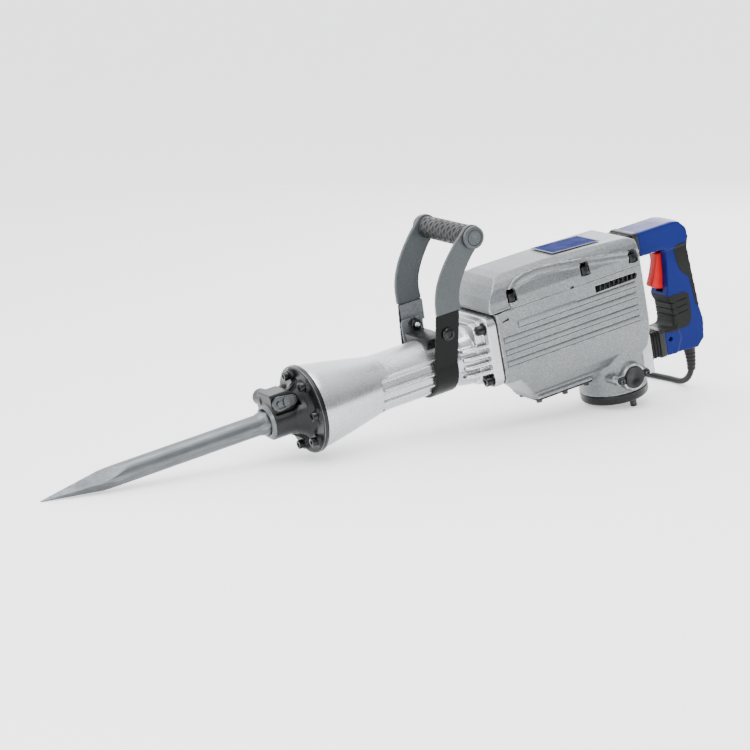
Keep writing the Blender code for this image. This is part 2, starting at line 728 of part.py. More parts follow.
def build_side_handle():
    spread = 0.07  # how far an arm leans outwards for each metre of height
    width = (CLAMP_X - 0.018, CLAMP_X + 0.018)
    strap = prism("clamp_strap", strap_outline(), "YZ", width[0], width[1], "strap")
    for vertex in strap.data.vertices:
        height = vertex.co.y
        if height > 0.006:
            vertex.co.z += (height - 0.006) * 0.011 / 0.072
    saddle_arc = arc((0, 0), BARREL_RADIUS + GAP, 50, 130, 8)
    prism(
        "clamp_saddle", saddle_arc + [(-0.0300, 0.0430), (0.0300, 0.0430)], "YZ", CLAMP_X - 0.015, CLAMP_X + 0.015, "strap"
    )
    tie_x, tie_z = 0.2015, 0.0495
    for side, hand in ((-1, "left"), (1, "right")):
        arm = prism(
            f"{hand}_arm", arm_outline(0.0), "XZ", side * 0.0510 - 0.0030, side * 0.0510 + 0.0030, "sleeve"
        )
        for vertex in arm.data.vertices:
            vertex.co.z -= side * (vertex.co.y - 0.0783) * spread
        bevel(arm, 0.0016, 2, 40)
        y_mid = side * (0.0510 + (GRIP_Z - 0.0783) * spread)
        hole = cylinder(
            f"{hand} arm eye", (GRIP_X, y_mid - 0.01, GRIP_Z), (GRIP_X, y_mid + 0.01, GRIP_Z), 0.0060
        )
        cut(arm, hole)
        inner = side * 0.0625
        cap = cylinder(
            f"{hand}_end_cap", (GRIP_X, inner, GRIP_Z), (GRIP_X, side * 0.0680, GRIP_Z), 0.0152, "sleeve", 32, 0.0140
        )
        blind = cylinder(f"{hand} cap hole", (GRIP_X, side * 0.055, GRIP_Z), (GRIP_X, side * 0.0655, GRIP_Z), 0.0060)
        cut(cap, blind)
    tab = prism("clamp tab", rounded_box_outline((0.1790, 0.0250), (0.2110, 0.0560), 0.006), "XZ", 0.0385, 0.0460)
    join(strap, tab)
    bar = cylinder("tie_bolt", (tie_x, -0.0530, tie_z), (tie_x, 0.0530, tie_z), 0.0040, "black_steel", 12)
    head = cylinder("tie head", (tie_x, -0.0529, tie_z), (tie_x, -0.0497, tie_z), 0.0080, None, 16)
    nut = cylinder("tie nut", (tie_x, 0.0300, tie_z), (tie_x, 0.0365, tie_z), 0.0080, None, 6)
    join(bar, head, nut)
    strap_hole = cylinder("tie hole", (tie_x, -0.07, tie_z), (tie_x, 0.07, tie_z), 0.0043, None, 12)
    cut(strap, strap_hole)
    half = 0.0528
    ring("side_grip", (GRIP_X, -half, GRIP_Z), (GRIP_X, half, GRIP_Z), 0.0148, 0.0060, "rubber", 32)
    cylinder("grip_rod", (GRIP_X, -0.0650, GRIP_Z), (GRIP_X, 0.0650, GRIP_Z), 0.0056, "steel", 16)


# ---------------------------------------------------------------- rear handle


def build_handle_shell(side, hand):
    """Half of the D-shaped handle, split along the tool's middle plane."""
    grip_half, arm_half = 0.0205, 0.0265
    near, far = GAP / 2, grip_half
    outline = [
        (0.5385, 0.0900),
        (0.5385, 0.0560),
        (0.5755, 0.0560),
        (0.5830, 0.0500),
        (0.5795, -0.0080),
        (0.5795, -0.0116),
        (0.5835, -0.0116),
        (0.5835, -0.0560),
        (0.5790, -0.0612),
        (0.5630, -0.0612),
        (0.5630, -0.0990),
        (0.6000, -0.1005),
        (0.6200, -0.1030),
        (0.6310, -0.0920),
        (0.6345, -0.0650),
        (0.6295, -0.0420),
        (0.6255, 0.0060),
        (0.6225, 0.0480),
        (0.6270, 0.0560),
        (0.6250, 0.0760),
        (0.6130, 0.0880),
        (0.6000, 0.0900),
    ]
    low, high = sorted((side * near, side * far))
    shell = prism(f"{hand}_handle_shell", outline, "XZ", low, high, "blue_plastic")
    top = [
        (0.5385, 0.0900),
        (0.5385, 0.0560),
        (0.5755, 0.0560),
        (0.6160, 0.0520),
        (0.6230, 0.0620),
        (0.6215, 0.0760),
        (0.6110, 0.0875),
        (0.6000, 0.0900),
    ]
    low, high = sorted((side * near, side * arm_half))
    join(shell, prism(f"{hand} arm", top, "XZ", low, high))
    cut(
        shell,
        box(f"{hand} switch room", (0.6020, -0.0125, -0.0100), (0.6193, 0.0125, 0.0440)),
        box(f"{hand} trigger room", (0.5700, -0.0075, -0.0120), (0.6030, 0.0075, 0.0500)),
        box(f"{hand} lock room", (0.5700, -0.0030, 0.0490), (0.5960, 0.0030, 0.0555)),
        box(f"{hand} upper socket", (0.5300, -0.0215, 0.0625), (0.5500, 0.0215, 0.0855)),
        box(f"{hand} lower socket", (0.5600, -0.0145, -0.0930), (0.5720, 0.0145, -0.0670)),
        cylinder(f"{hand} cord hole", (0.616, 0, -0.120), (0.616, 0, -0.0850), 0.0062),
    )
    return shell


def build_collars_and_bellows():
    """Each arm of the handle slides over the tail of a rubber bellows on the housing."""
    arms = (
        ("upper", 0.5190, 0.5237, 0.5285, 0.5382, (0.0280, 0.0570, 0.0915), (0.0205, 0.0640, 0.0840), 0.5450),
        ("lower", 0.5383, 0.5480, 0.5527, 0.5627, (0.0215, -0.1000, -0.0590), (0.0135, -0.0915, -0.0685), 0.5670),
    )
    for name, start, end, collar_start, collar_end, outer, inner, tail_end in arms:
        half, low, high = outer
        in_half, in_low, in_high = inner
        bellows = box(f"{name}_bellows", (start, -half + 0.002, low + 0.002), (end, half - 0.002, high - 0.002), "rubber")
        tail = box(f"{name} tail", (start + 0.002, -in_half, in_low), (tail_end, in_half, in_high))
        join(bellows, tail)
        collar = prism(
            f"{name}_collar", rounded_box_outline((-half, low), (half, high), 0.005), "YZ", collar_start, collar_end, "rubber"
        )
        cut(
            collar,
            box(
                f"{name} collar hole",
                (collar_start - 0.01, -in_half - 0.001, in_low - 0.001),
                (collar_end + 0.01, in_half + 0.001, in_high + 0.001),
            ),
        )


def build_trigger():
    outline = [
        (0.5790, 0.0470),
        (0.5740, 0.0300),
        (0.5660, 0.0130),
        (0.5620, 0.0035),
        (0.5720, -0.0035),
        (0.5815, -0.0060),
        (0.5870, -0.0020),
        (0.5930, 0.0400),
        (0.5930, 0.0470),
    ]
    bevel(prism("trigger", outline, "XZ", -0.0070, 0.0070, "red_plastic"), 0.0015, 2, 40)
    cylinder("lock_button", (0.5710, 0, 0.0522), (0.5860, 0, 0.0522), 0.0024, "white_plastic", 12)
    switch = box("power_switch", (0.6025, -0.0120, -0.0050), (0.6189, 0.0120, 0.0430), "black_plastic")
    bevel(switch, 0.001, 1)


def build_grip_pad():
    pad = [
        (0.5785, -0.0120),
        (0.5830, -0.0120),
        (0.5830, -0.0558),
        (0.5787, -0.0608),
        (0.5640, -0.0608),
        (0.5640, -0.0570),
        (0.5760, -0.0570),
        (0.5785, -0.0540),
    ]
    prism("grip_pad", pad, "XZ", -0.0175, 0.0175, "rubber")


def build_rear_bracket():
    bracket = box("rear_bracket", (0.5186, -0.0215, -0.1150), (0.5380, 0.0215, -0.0590), "bracket_grey")
    round_seat = cylinder("motor seat", (MOTOR_X, 0, -0.20), (MOTOR_X, 0, 0), MOTOR_RADIUS + GAP, None, 36)
    cut(bracket, round_seat)


# ---------------------------------------------------------------- cord


def tool_point(point):
    return TOOL_FRAME @ Vector(point)


def cord_route():
    """Where the cord runs on its way down from the handle and over the floor to its coil."""
    lie = CORD_DIAMETER / 2 + GAP
    top = tool_point(BOOT_TOP)
    return [
        top,
        Vector((top.x + 0.0030, 0.0000, 0.0462)),
        Vector((top.x + 0.0052, 0.0013, 0.0330)),
        Vector((top.x + 0.0065, 0.0051, 0.0238)),
        Vector((top.x + 0.0075, 0.0111, 0.0160)),
        Vector((top.x + 0.0081, 0.0190, 0.0099)),
        Vector((top.x + 0.0084, 0.0282, 0.0062)),
        Vector((top.x + 0.0085, 0.0380, lie)),
        Vector((top.x + 0.0075, 0.0560, lie)),
        Vector((top.x + 0.0035, 0.0800, lie)),
        Vector((top.x - 0.0015, 0.1080, lie)),
        Vector((top.x - 0.0055, 0.1330, lie)),
    ]


def smooth_line(points, spacing):
    """Evenly spaced points along a Catmull-Rom curve through the given ones."""
    ends = [2 * points[0] - points[1]] + points + [2 * points[-1] - points[-2]]
    fine = []
    for number in range(1, len(ends) - 2):
        p0, p1, p2, p3 = ends[number - 1 : number + 3]
        for step in range(24):
            t = step / 24
            fine.append(
                0.5 * (2 * p1 + (p2 - p0) * t + (2 * p0 - 5 * p1 + 4 * p2 - p3) * t**2 + (3 * p1 - p0 - 3 * p2 + p3) * t**3)
            )
    fine.append(points[-1].copy())
    lengths = [0.0]
    for first, second in zip(fine, fine[1:]):
        lengths.append(lengths[-1] + (second - first).length)
    count = max(2, round(lengths[-1] / spacing))
    line, place = [], 0
    for step in range(count + 1):
        wanted = lengths[-1] * step / count
        while place < len(fine) - 2 and lengths[place + 1] < wanted:
            place += 1
        share = (wanted - lengths[place]) / (lengths[place + 1] - lengths[place])
        line.append(fine[place].lerp(fine[place + 1], share))
    return line


def tube(name, points, radii, finish):
    curve = bpy.data.curves.new(name, "CURVE")
    curve.dimensions = "3D"
    curve.bevel_depth = 1.0
    curve.bevel_resolution = 3
    curve.use_fill_caps = True
    spline = curve.splines.new("POLY")
    spline.points.add(len(points) - 1)
    for slot, point, radius in zip(spline.points, points, radii):
        slot.co = (*point, 1)
        slot.radius = radius
    path = bpy.data.objects.new(name, curve)
    bpy.context.scene.collection.objects.link(path)
    return smooth(add(name, mesh_of(path), Matrix.Identity(4), finish, on_floor=True), 50)


def build_cord():
    line = smooth_line(cord_route(), 0.006)
    boot_end = 6
    boot = line[: boot_end + 1]
    radii = [0.0086 - 0.0028 * step / boot_end for step in range(boot_end + 1)]
    boot[0] = boot[0] + (boot[1] - boot[0]).normalized() * GAP
    tube("cord_boot", boot, radii, "cord_rubber")
    rest = line[boot_end:]
    rest[0] = rest[0] + (rest[1] - rest[0]).normalized() * 5 * GAP
    thin = rest[:1] + rest[2:-1:2] + rest[-1:]
    tube("power_cord", thin, [CORD_DIAMETER / 2] * len(thin), "cord_rubber")
    profile = [
        (COIL_OUTER - 0.004, COIL_HEIGHT),
        (COIL_OUTER, COIL_HEIGHT - 0.004),
        (COIL_OUTER, 0.0045),
        (COIL_OUTER - 0.004, 0.0005),
        (COIL_INNER + 0.004, 0.0005),
        (COIL_INNER, 0.0045),
        (COIL_INNER, COIL_HEIGHT - 0.004),
        (COIL_INNER + 0.004, COIL_HEIGHT),
    ]
    turned("cord_coil", profile, (0, 0, 1), COIL_CENTRE, "cord_rubber", 32, on_floor=True)


def build_plug():
    """A two-pin plug lying on the coil."""
    base = COIL_CENTRE + Vector((0.0005, 0.0392, COIL_HEIGHT + 0.0122))
    length = 0.040
    profile = [(0, length), (0.0118, length), (0.0118, 0.012), (0.0068, 0), (0, 0)]
    plug = turned("plug", profile, (-1, 0, 0), base, "cord_rubber", 20, on_floor=True)
    for side in (-1, 1):
        start = base + Vector((0.005 - length, side * 0.0055, 0))
        pin = [(0, 0.021), (0.0022, 0.021), (0.0022, 0), (0, 0)]
        join(plug, turned(f"pin {side}", pin, (-1, 0, 0), start, None, 10, on_floor=True))


def main():
    build_chisel()
    build_tool_holder()
    build_stop_lever()
    build_cylinder_case()
    build_hammer_works()
    build_connecting_rod()
    build_gear_train()
    build_motor()
    housing = build_main_housing()
    build_gear_cover(housing)
    build_brushes(housing)
    build_bottom_plates()
    build_rear_bracket()
    build_side_handle()
    build_handle_shell(-1, "left")
    build_handle_shell(1, "right")
    build_collars_and_bellows()
    build_trigger()
    build_grip_pad()
    build_cord()
    build_plug()


main()
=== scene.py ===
"""The finished looks of an electric demolition hammer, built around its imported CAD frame.

Pieces are drawn in the tool's own frame: X runs along the striking axis from the chisel (-X)
to the rear handle (+X), Y is across the tool and Z is up through the side handle. TOOL_FRAME
lays them on the floor. Every length is in metres.
"""

import json
import logging
import math
from abc import ABC, abstractmethod
from collections.abc import Callable, Iterable, Sequence
from dataclasses import dataclass, field, replace
from enum import Enum

import bmesh
import bpy
from mathutils import Matrix, Vector


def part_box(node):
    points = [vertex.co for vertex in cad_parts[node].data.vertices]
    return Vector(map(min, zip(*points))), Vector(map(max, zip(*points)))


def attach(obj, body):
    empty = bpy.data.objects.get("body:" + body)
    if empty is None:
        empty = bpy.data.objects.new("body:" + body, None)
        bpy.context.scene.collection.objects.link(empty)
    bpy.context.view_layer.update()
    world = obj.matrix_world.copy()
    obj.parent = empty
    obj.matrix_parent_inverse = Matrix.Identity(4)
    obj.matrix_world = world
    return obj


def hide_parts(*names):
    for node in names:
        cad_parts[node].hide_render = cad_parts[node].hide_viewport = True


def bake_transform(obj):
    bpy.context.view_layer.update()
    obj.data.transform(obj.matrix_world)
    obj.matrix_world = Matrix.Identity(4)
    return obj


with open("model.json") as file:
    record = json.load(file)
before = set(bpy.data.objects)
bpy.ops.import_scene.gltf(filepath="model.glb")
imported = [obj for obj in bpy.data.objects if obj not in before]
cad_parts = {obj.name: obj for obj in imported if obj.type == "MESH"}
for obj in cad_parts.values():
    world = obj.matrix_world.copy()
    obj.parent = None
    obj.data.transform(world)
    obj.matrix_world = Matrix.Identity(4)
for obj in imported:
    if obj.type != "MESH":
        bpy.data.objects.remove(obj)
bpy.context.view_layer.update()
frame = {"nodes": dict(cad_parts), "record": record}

LOG = logging.getLogger("demolition_hammer")

Point2 = tuple[float, float]
Point3 = Sequence[float]
Colour = tuple[float, float, float]
Piece = bpy.types.Object
Node = bpy.types.Node
Socket = bpy.types.NodeSocket

SIDES = ((-1, "left"), (1, "right"))
# The striking axis leans this far when the tool lies on its point and its motor cover.
PITCH = math.radians(9.550582)
TOOL_FRAME = Matrix.Translation((-0.13383, 0.0, 0.0645015)) @ Matrix.Rotation(-PITCH, 4, "Y")


# ---------------------------------------------------------------- node trees


class Wiring:
    """A node tree that is being filled in."""

    def __init__(self, tree: bpy.types.NodeTree) -> None:
        """Keeps the tree that the nodes go into."""
        self.tree = tree

    def put(self, kind: str, values: dict | None = None, **settings: object) -> Node:
        """Adds a node.

        Args:
            kind: The node's type name.
            values: Its inputs by name or number; a socket is linked and anything else is set.
            **settings: The node's own properties.

        Returns:
            The new node.
        """
        node = self.tree.nodes.new(kind)
        for name, value in settings.items():
            setattr(node, name, value)
        for name, value in (values or {}).items():
            if isinstance(value, Socket):
                self.tree.links.new(value, node.inputs[name])
            else:
                node.inputs[name].default_value = value
        return node

    def link(self, source: Socket, node: Node, name: str | int) -> None:
        """Links a socket to a node's input."""
        self.tree.links.new(source, node.inputs[name])

    def noise(self, place: Socket, scale: object, detail: float = 3.0, rough: float = 0.6) -> Socket:
        """Cloudy noise from 0 to 1 at a place."""
        values = {"Vector": place, "Scale": scale, "Detail": detail, "Roughness": rough}
        return self.put("ShaderNodeTexNoise", values).outputs["Fac"]

    def sum_of(self, operation: str, first: object, second: object, clamp: bool = False) -> Socket:
        """One Math node of two values."""
        values = {0: first, 1: second}
        return self.put("ShaderNodeMath", values, operation=operation, use_clamp=clamp).outputs[0]

    def spread(
        self, value: Socket, low: float, high: float, start: float = 0.0, end: float = 1.0
    ) -> Socket:
        """A value moved from the range low to high on to the range start to end."""
        values = {"Value": value, "From Min": low, "From Max": high, "To Min": start, "To Max": end}
        return self.put("ShaderNodeMapRange", values).outputs["Result"]

    def tint(self, share: Socket, first: object, second: object) -> Socket:
        """A colour between two others."""
        values = {0: share, 6: first, 7: second}
        return self.put("ShaderNodeMix", values, data_type="RGBA").outputs[2]


def shader_group(
    name: str, inputs: dict[str, tuple[str, object]], outputs: dict[str, str]
) -> tuple[Wiring, Node, Node]:
    """An empty shader node group with its sockets.

    Args:
        name: The group's name.
        inputs: Socket type and first value of each input.
        outputs: Socket type of each output.

    Returns:
        The wiring, the group's input node and its output node.
    """
    tree = bpy.data.node_groups.new(name, "ShaderNodeTree")
    for label, (kind, value) in inputs.items():
        socket = tree.interface.new_socket(label, in_out="INPUT", socket_type=kind)
        if value is not None:
            socket.default_value = value
    for label, kind in outputs.items():
        tree.interface.new_socket(label, in_out="OUTPUT", socket_type=kind)
    wiring = Wiring(tree)
    return wiring, wiring.put("NodeGroupInput"), wiring.put("NodeGroupOutput")


class Effect(Enum):
    """The effects that several finishes share, each a shader node group."""

    GRAIN = "surface_grain"
    WEAR = "edge_wear"
    LINES = "drawn_lines"
    DUST = "settled_dust"

    def group(self) -> bpy.types.NodeTree:
        """The effect's node group, built when it is first asked for."""
        if self.value not in bpy.data.node_groups:
            makers = {
                Effect.GRAIN: grain_group,
                Effect.WEAR: wear_and_hollow_shade_group,
                Effect.LINES: lines_group,
                Effect.DUST: dust_group,
            }
            makers[self](self.value)
        return bpy.data.node_groups[self.value]


def grain_group(name: str) -> None:
    """Builds the grain of a cast or moulded skin: fine pits and a broad cloud.

    Args:
        name: The group's name.
    """
    inputs = {
        "Vector": ("NodeSocketVector", None),
        "Scale": ("NodeSocketFloat", 900.0),
        "Broad Scale": ("NodeSocketFloat", BROAD_CLOUDS),
    }
    outputs = {"Fine": "NodeSocketFloat", "Broad": "NodeSocketFloat", "Pits": "NodeSocketFloat"}
    wiring, given, result = shader_group(name, inputs, outputs)
    place, scale = given.outputs["Vector"], given.outputs["Scale"]
    fine = wiring.noise(place, scale, 2.0, 0.7)
    coarse = wiring.sum_of("MULTIPLY", scale, 0.45)
    cells = wiring.put("ShaderNodeTexVoronoi", {"Vector": place, "Scale": coarse}, feature="SMOOTH_F1")
    pits = wiring.spread(cells.outputs["Distance"], 0.05, 0.75)
    both = wiring.sum_of("MULTIPLY_ADD", pits, 0.5)
    wiring.link(wiring.sum_of("MULTIPLY", fine, 0.5), both.node, 2)
    broad = wiring.noise(place, given.outputs["Broad Scale"], 4.0, 0.55)
    for label, source in (("Fine", fine), ("Broad", wiring.spread(broad, 0.3, 0.7)), ("Pits", both)):
        wiring.link(source, result, label)


def wear_and_hollow_shade_group(name: str) -> None:
    """Builds a mask of rubbed edges, broken up by noise, and a mask of painted shade in grooves and inner
    corners.

    Args:
        name: The group's name.
    """
    inputs = {
        "Vector": ("NodeSocketVector", None),
        "Edge": ("NodeSocketFloat", 0.53),
        "Breakup": ("NodeSocketFloat", 160.0),
    }
    wiring, given, result = shader_group(name, inputs, {"Mask": "NodeSocketFloat", "Hollow": "NodeSocketFloat"})
    point = wiring.put("ShaderNodeNewGeometry").outputs["Pointiness"]
    # Painted shade: low pointiness marks grooves and inner corners, which the finishes darken.
    wiring.link(wiring.spread(point, 0.49, 0.43), result, "Hollow")
    edge = wiring.sum_of("SUBTRACT", point, given.outputs["Edge"])
    edge = wiring.sum_of("MULTIPLY", edge, 16.0, True)
    patchy = wiring.spread(wiring.noise(given.outputs["Vector"], given.outputs["Breakup"]), 0.38, 0.62)
    wiring.link(wiring.sum_of("MULTIPLY", edge, patchy), result, "Mask")


def lines_group(name: str) -> None:
    """Builds long fine lines, as drawing, grinding or turning leaves on steel.

    Args:
        name: The group's name.
    """
    inputs = {
        "Vector": ("NodeSocketVector", None),
        "Density": ("NodeSocketFloat", 1600.0),
        "Stretch": ("NodeSocketVector", (0.02, 1.0, 1.0)),
    }
    wiring, given, result = shader_group(name, inputs, {"Lines": "NodeSocketFloat"})
    values = {0: given.outputs["Vector"], 1: given.outputs["Stretch"]}
    drawn = wiring.put("ShaderNodeVectorMath", values, operation="MULTIPLY")
    lines = wiring.noise(drawn.outputs[0], given.outputs["Density"], 2.0, 0.5)
    wiring.link(wiring.spread(lines, 0.3, 0.7), result, "Lines")


def dust_group(name: str) -> None:
    """Builds a thin cloudy mask on the faces that look up.

    Args:
        name: The group's name.
    """
    inputs = {"Vector": ("NodeSocketVector", None), "Cloud": ("NodeSocketFloat", 60.0)}
    wiring, given, result = shader_group(name, inputs, {"Mask": "NodeSocketFloat"})
    normal = wiring.put("ShaderNodeNewGeometry").outputs["Normal"]
    up = wiring.put("ShaderNodeSeparateXYZ", {0: normal}).outputs["Z"]
    up = wiring.spread(up, 0.1, 1.0)
    cloud = wiring.spread(wiring.noise(given.outputs["Vector"], given.outputs["Cloud"], 5.0), 0.4, 0.75)
    wiring.link(wiring.sum_of("MULTIPLY", up, cloud), result, "Mask")


# ---------------------------------------------------------------- finishes


BROAD_CLOUDS = 22.0  # clouds in a metre of a cast or moulded skin
# Painted shade: grooves and inner corners are darkened in the colour of every grained finish.
PAINTED_HOLLOW_SHADE = 0.75  # how far the hollows are darkened
PAINTED_HOLLOW_TINT = 0.18  # their colour, as a share of the shade
DUST_COLOUR = (0.45, 0.44, 0.42)


def paint(colour: Colour) -> tuple[float, float, float, float]:
    """A colour as a node takes it."""
    return (*colour, 1.0)


@dataclass(frozen=True)
class Finish(ABC):
    """How a surface is made. Each kind lays its own nodes.

    Attributes:
        name: The material's name.
        colour: The main colour.
        roughness: The middle of its roughness.
        metallic: 1 for bare metal and 0 for plastic or paint.
        coat: The strength of a clear skin.
        shine: The level of its mirror reflection, 0.5 being usual.
    """

    name: str
    colour: Colour
    roughness: float = 0.5
    metallic: float = 0.0
    coat: float = 0.0
    shine: float = 0.5

    def material(self) -> bpy.types.Material:
        """The material, built when it is first asked for.

        Returns:
            The material.
        """
        label = f"{self.name}_finish"
        if label in bpy.data.materials:
            return bpy.data.materials[label]
        material = bpy.data.materials.new(label)
        material.use_nodes = True
        material.diffuse_color = paint(self.colour)
        shader = material.node_tree.nodes["Principled BSDF"]
        shader.inputs["Metallic"].default_value = self.metallic
        shader.inputs["Coat Weight"].default_value = self.coat
        shader.inputs["Coat Roughness"].default_value = 0.2
        shader.inputs["Specular IOR Level"].default_value = self.shine
        wiring = Wiring(material.node_tree)
        settled = wiring.put("ShaderNodeTexCoord").outputs["Object"]
        values = {"Vector": settled, "Angle": PITCH}
        turned_back = wiring.put("ShaderNodeVectorRotate", values, rotation_type="Y_AXIS")
        self.lay(wiring, shader, turned_back.outputs[0])
        return material

    def place_effect(self, wiring: Wiring, effect: Effect, values: dict) -> Node:
        """Adds a shared effect with this finish's own values."""
        return wiring.put("ShaderNodeGroup", values, node_tree=effect.group())

    def bump(self, wiring: Wiring, height: Socket, depth: float, strength: float) -> Socket:
        """A normal raised by a height."""
        values = {"Height": height, "Distance": depth, "Strength": strength}
        return wiring.put("ShaderNodeBump", values).outputs["Normal"]

    @abstractmethod
    def lay(self, wiring: Wiring, shader: Node, place: Socket) -> None:
        """Wires this finish's nodes into the shader.

        Args:
            wiring: The material's node tree.
            shader: Its Principled BSDF.
            place: The place on the tool, along its own axes.
        """


@dataclass(frozen=True)
class Grained(Finish):
    """A cast, painted or moulded skin.

    Attributes:
        shade: The colour in the hollows of the grain.
        rubbed: The colour on worn edges.
        wear: How far the edges are worn, from 0 to 1.
        edge: The pointiness from which an edge is worn.
        grain: Grains in a metre.
        depth: Height of the grain.
        relief: Strength of the grain's bump.
        vary: How far the roughness swings.
        dust: How much dust lies on top.
    """

    shade: Colour = (0.2, 0.2, 0.2)
    rubbed: Colour = (0.7, 0.7, 0.7)
    wear: float = 0.3
    edge: float = 0.53
    grain: float = 900.0
    depth: float = 0.0002
    relief: float = 0.3
    vary: float = 0.08
    dust: float = 0.0

    def lay(self, wiring: Wiring, shader: Node, place: Socket) -> None:
        """Mixes the skin from its grain, its worn edges, painted shade in its hollows and its dust."""
        values = {"Vector": place, "Scale": self.grain, "Broad Scale": BROAD_CLOUDS}
        grain = self.place_effect(wiring, Effect.GRAIN, values)
        pits = wiring.spread(grain.outputs["Pits"], 0.33, 0.66)
        colour = wiring.tint(pits, paint(self.shade), paint(self.colour))
        soft = tuple(0.86 * part for part in self.colour)
        colour = wiring.tint(wiring.sum_of("MULTIPLY", grain.outputs["Broad"], 0.3), colour, paint(soft))
        wear = self.place_effect(wiring, Effect.WEAR, {"Vector": place, "Edge": self.edge, "Breakup": 170.0})
        # Painted shade in the hollows, towards a dark share of the shade colour.
        painted_shade = wiring.sum_of("MULTIPLY", wear.outputs["Hollow"], PAINTED_HOLLOW_SHADE)
        colour = wiring.tint(painted_shade, colour, paint(tuple(PAINTED_HOLLOW_TINT * part for part in self.shade)))
        share = wiring.sum_of("MULTIPLY", wear.outputs["Mask"], self.wear)
        colour = wiring.tint(share, colour, paint(self.rubbed))
        if self.dust:
            dust = self.place_effect(wiring, Effect.DUST, {"Vector": place, "Cloud": 60.0})
            dusty = wiring.sum_of("MULTIPLY", dust.outputs["Mask"], self.dust)
            colour = wiring.tint(dusty, colour, paint(DUST_COLOUR))
        low, high = self.roughness - self.vary, self.roughness + self.vary
        rough = wiring.spread(grain.outputs["Broad"], 0.0, 1.0, low, high)
        wiring.link(colour, shader, "Base Color")
        wiring.link(rough, shader, "Roughness")
        normal = self.bump(wiring, grain.outputs["Pits"], self.depth, self.relief)
        wiring.link(normal, shader, "Normal")


@dataclass(frozen=True)
class Drawn(Finish):
    """Steel or copper with the lines of its making.

    Attributes:
        shade: The colour between the lines.
        stretch: How the lines are pulled out along each axis.
        density: Lines in a metre.
        relief: Strength of the lines' bump.
        stain: The colour of the forging scale that is left.
        stained: How much scale is left.
    """

    shade: Colour = (0.3, 0.3, 0.3)
    stretch: tuple[float, float, float] = (0.02, 1.0, 1.0)
    density: float = 1600.0
    relief: float = 0.12
    stain: Colour = (0.2, 0.2, 0.2)
    stained: float = 0.25

    def lay(self, wiring: Wiring, shader: Node, place: Socket) -> None:
        """Mixes the metal from its lines, its scale and its rubbed edges."""
        values = {"Vector": place, "Density": self.density, "Stretch": self.stretch}
        lines = self.place_effect(wiring, Effect.LINES, values).outputs["Lines"]
        grain = self.place_effect(wiring, Effect.GRAIN, {"Vector": place, "Scale": 1300.0, "Broad Scale": 38.0})
        colour = wiring.tint(lines, paint(self.shade), paint(self.colour))
        scale = wiring.sum_of("MULTIPLY", grain.outputs["Broad"], self.stained)
        colour = wiring.tint(scale, colour, paint(self.stain))
        wear = self.place_effect(wiring, Effect.WEAR, {"Vector": place, "Edge": 0.54, "Breakup": 90.0})
        share = wiring.sum_of("MULTIPLY", wear.outputs["Mask"], 0.5)
        colour = wiring.tint(share, colour, paint(tuple(min(1.0, part * 1.5) for part in self.colour)))
        rough = wiring.spread(lines, 0.0, 1.0, self.roughness + 0.07, self.roughness - 0.07)
        height = wiring.sum_of("ADD", lines, wiring.sum_of("MULTIPLY", grain.outputs["Fine"], 0.5))
        wiring.link(colour, shader, "Base Color")
        wiring.link(rough, shader, "Roughness")
        wiring.link(self.bump(wiring, height, 0.0001, self.relief), shader, "Normal")


@dataclass(frozen=True)
class Label(Finish):
    """A blank printed label with a pale border.

    Attributes:
        border: The border's colour.
        middle: The label's middle in the row frame.
        half: Half its length and half its width inside the border.
    """

    border: Colour = (0.2, 0.21, 0.22)
    middle: tuple[float, float, float] = (0.0, 0.0, 0.0)
    half: Point2 = (0.035, 0.023)

    def lay(self, wiring: Wiring, shader: Node, place: Socket) -> None:
        """Prints the field and its border, and scuffs them a little."""
        from_middle = wiring.put("ShaderNodeVectorMath", {0: place, 1: self.middle}, operation="SUBTRACT")
        away = wiring.put("ShaderNodeVectorMath", {0: from_middle.outputs[0]}, operation="ABSOLUTE")
        parts = wiring.put("ShaderNodeSeparateXYZ", {0: away.outputs[0]})
        ends = wiring.sum_of("GREATER_THAN", parts.outputs["X"], self.half[0])
        sides = wiring.sum_of("GREATER_THAN", parts.outputs["Y"], self.half[1])
        edge = wiring.sum_of("MAXIMUM", ends, sides)
        grain = self.place_effect(wiring, Effect.GRAIN, {"Vector": place, "Scale": 700.0, "Broad Scale": 60.0})
        deep = tuple(0.8 * part for part in self.colour)
        field_colour = wiring.tint(grain.outputs["Broad"], paint(self.colour), paint(deep))
        colour = wiring.tint(edge, field_colour, paint(self.border))
        rough = wiring.spread(grain.outputs["Broad"], 0.0, 1.0, self.roughness - 0.06, self.roughness + 0.12)
        wiring.link(colour, shader, "Base Color")
        wiring.link(rough, shader, "Roughness")
        normal = self.bump(wiring, grain.outputs["Fine"], 0.0001, 0.08)
        wiring.link(normal, shader, "Normal")


CAST_SILVER = Grained(
    "cast_silver", (0.215, 0.228, 0.236), 0.38, 0.65, 0.0, 0.4, shade=(0.135, 0.143, 0.148),
    rubbed=(0.66, 0.67, 0.68), wear=0.85, edge=0.514, grain=1050.0, depth=0.0003, relief=0.24,
)
STRIP_SILVER = replace(CAST_SILVER, name="strip_silver", wear=0.12, edge=0.56)
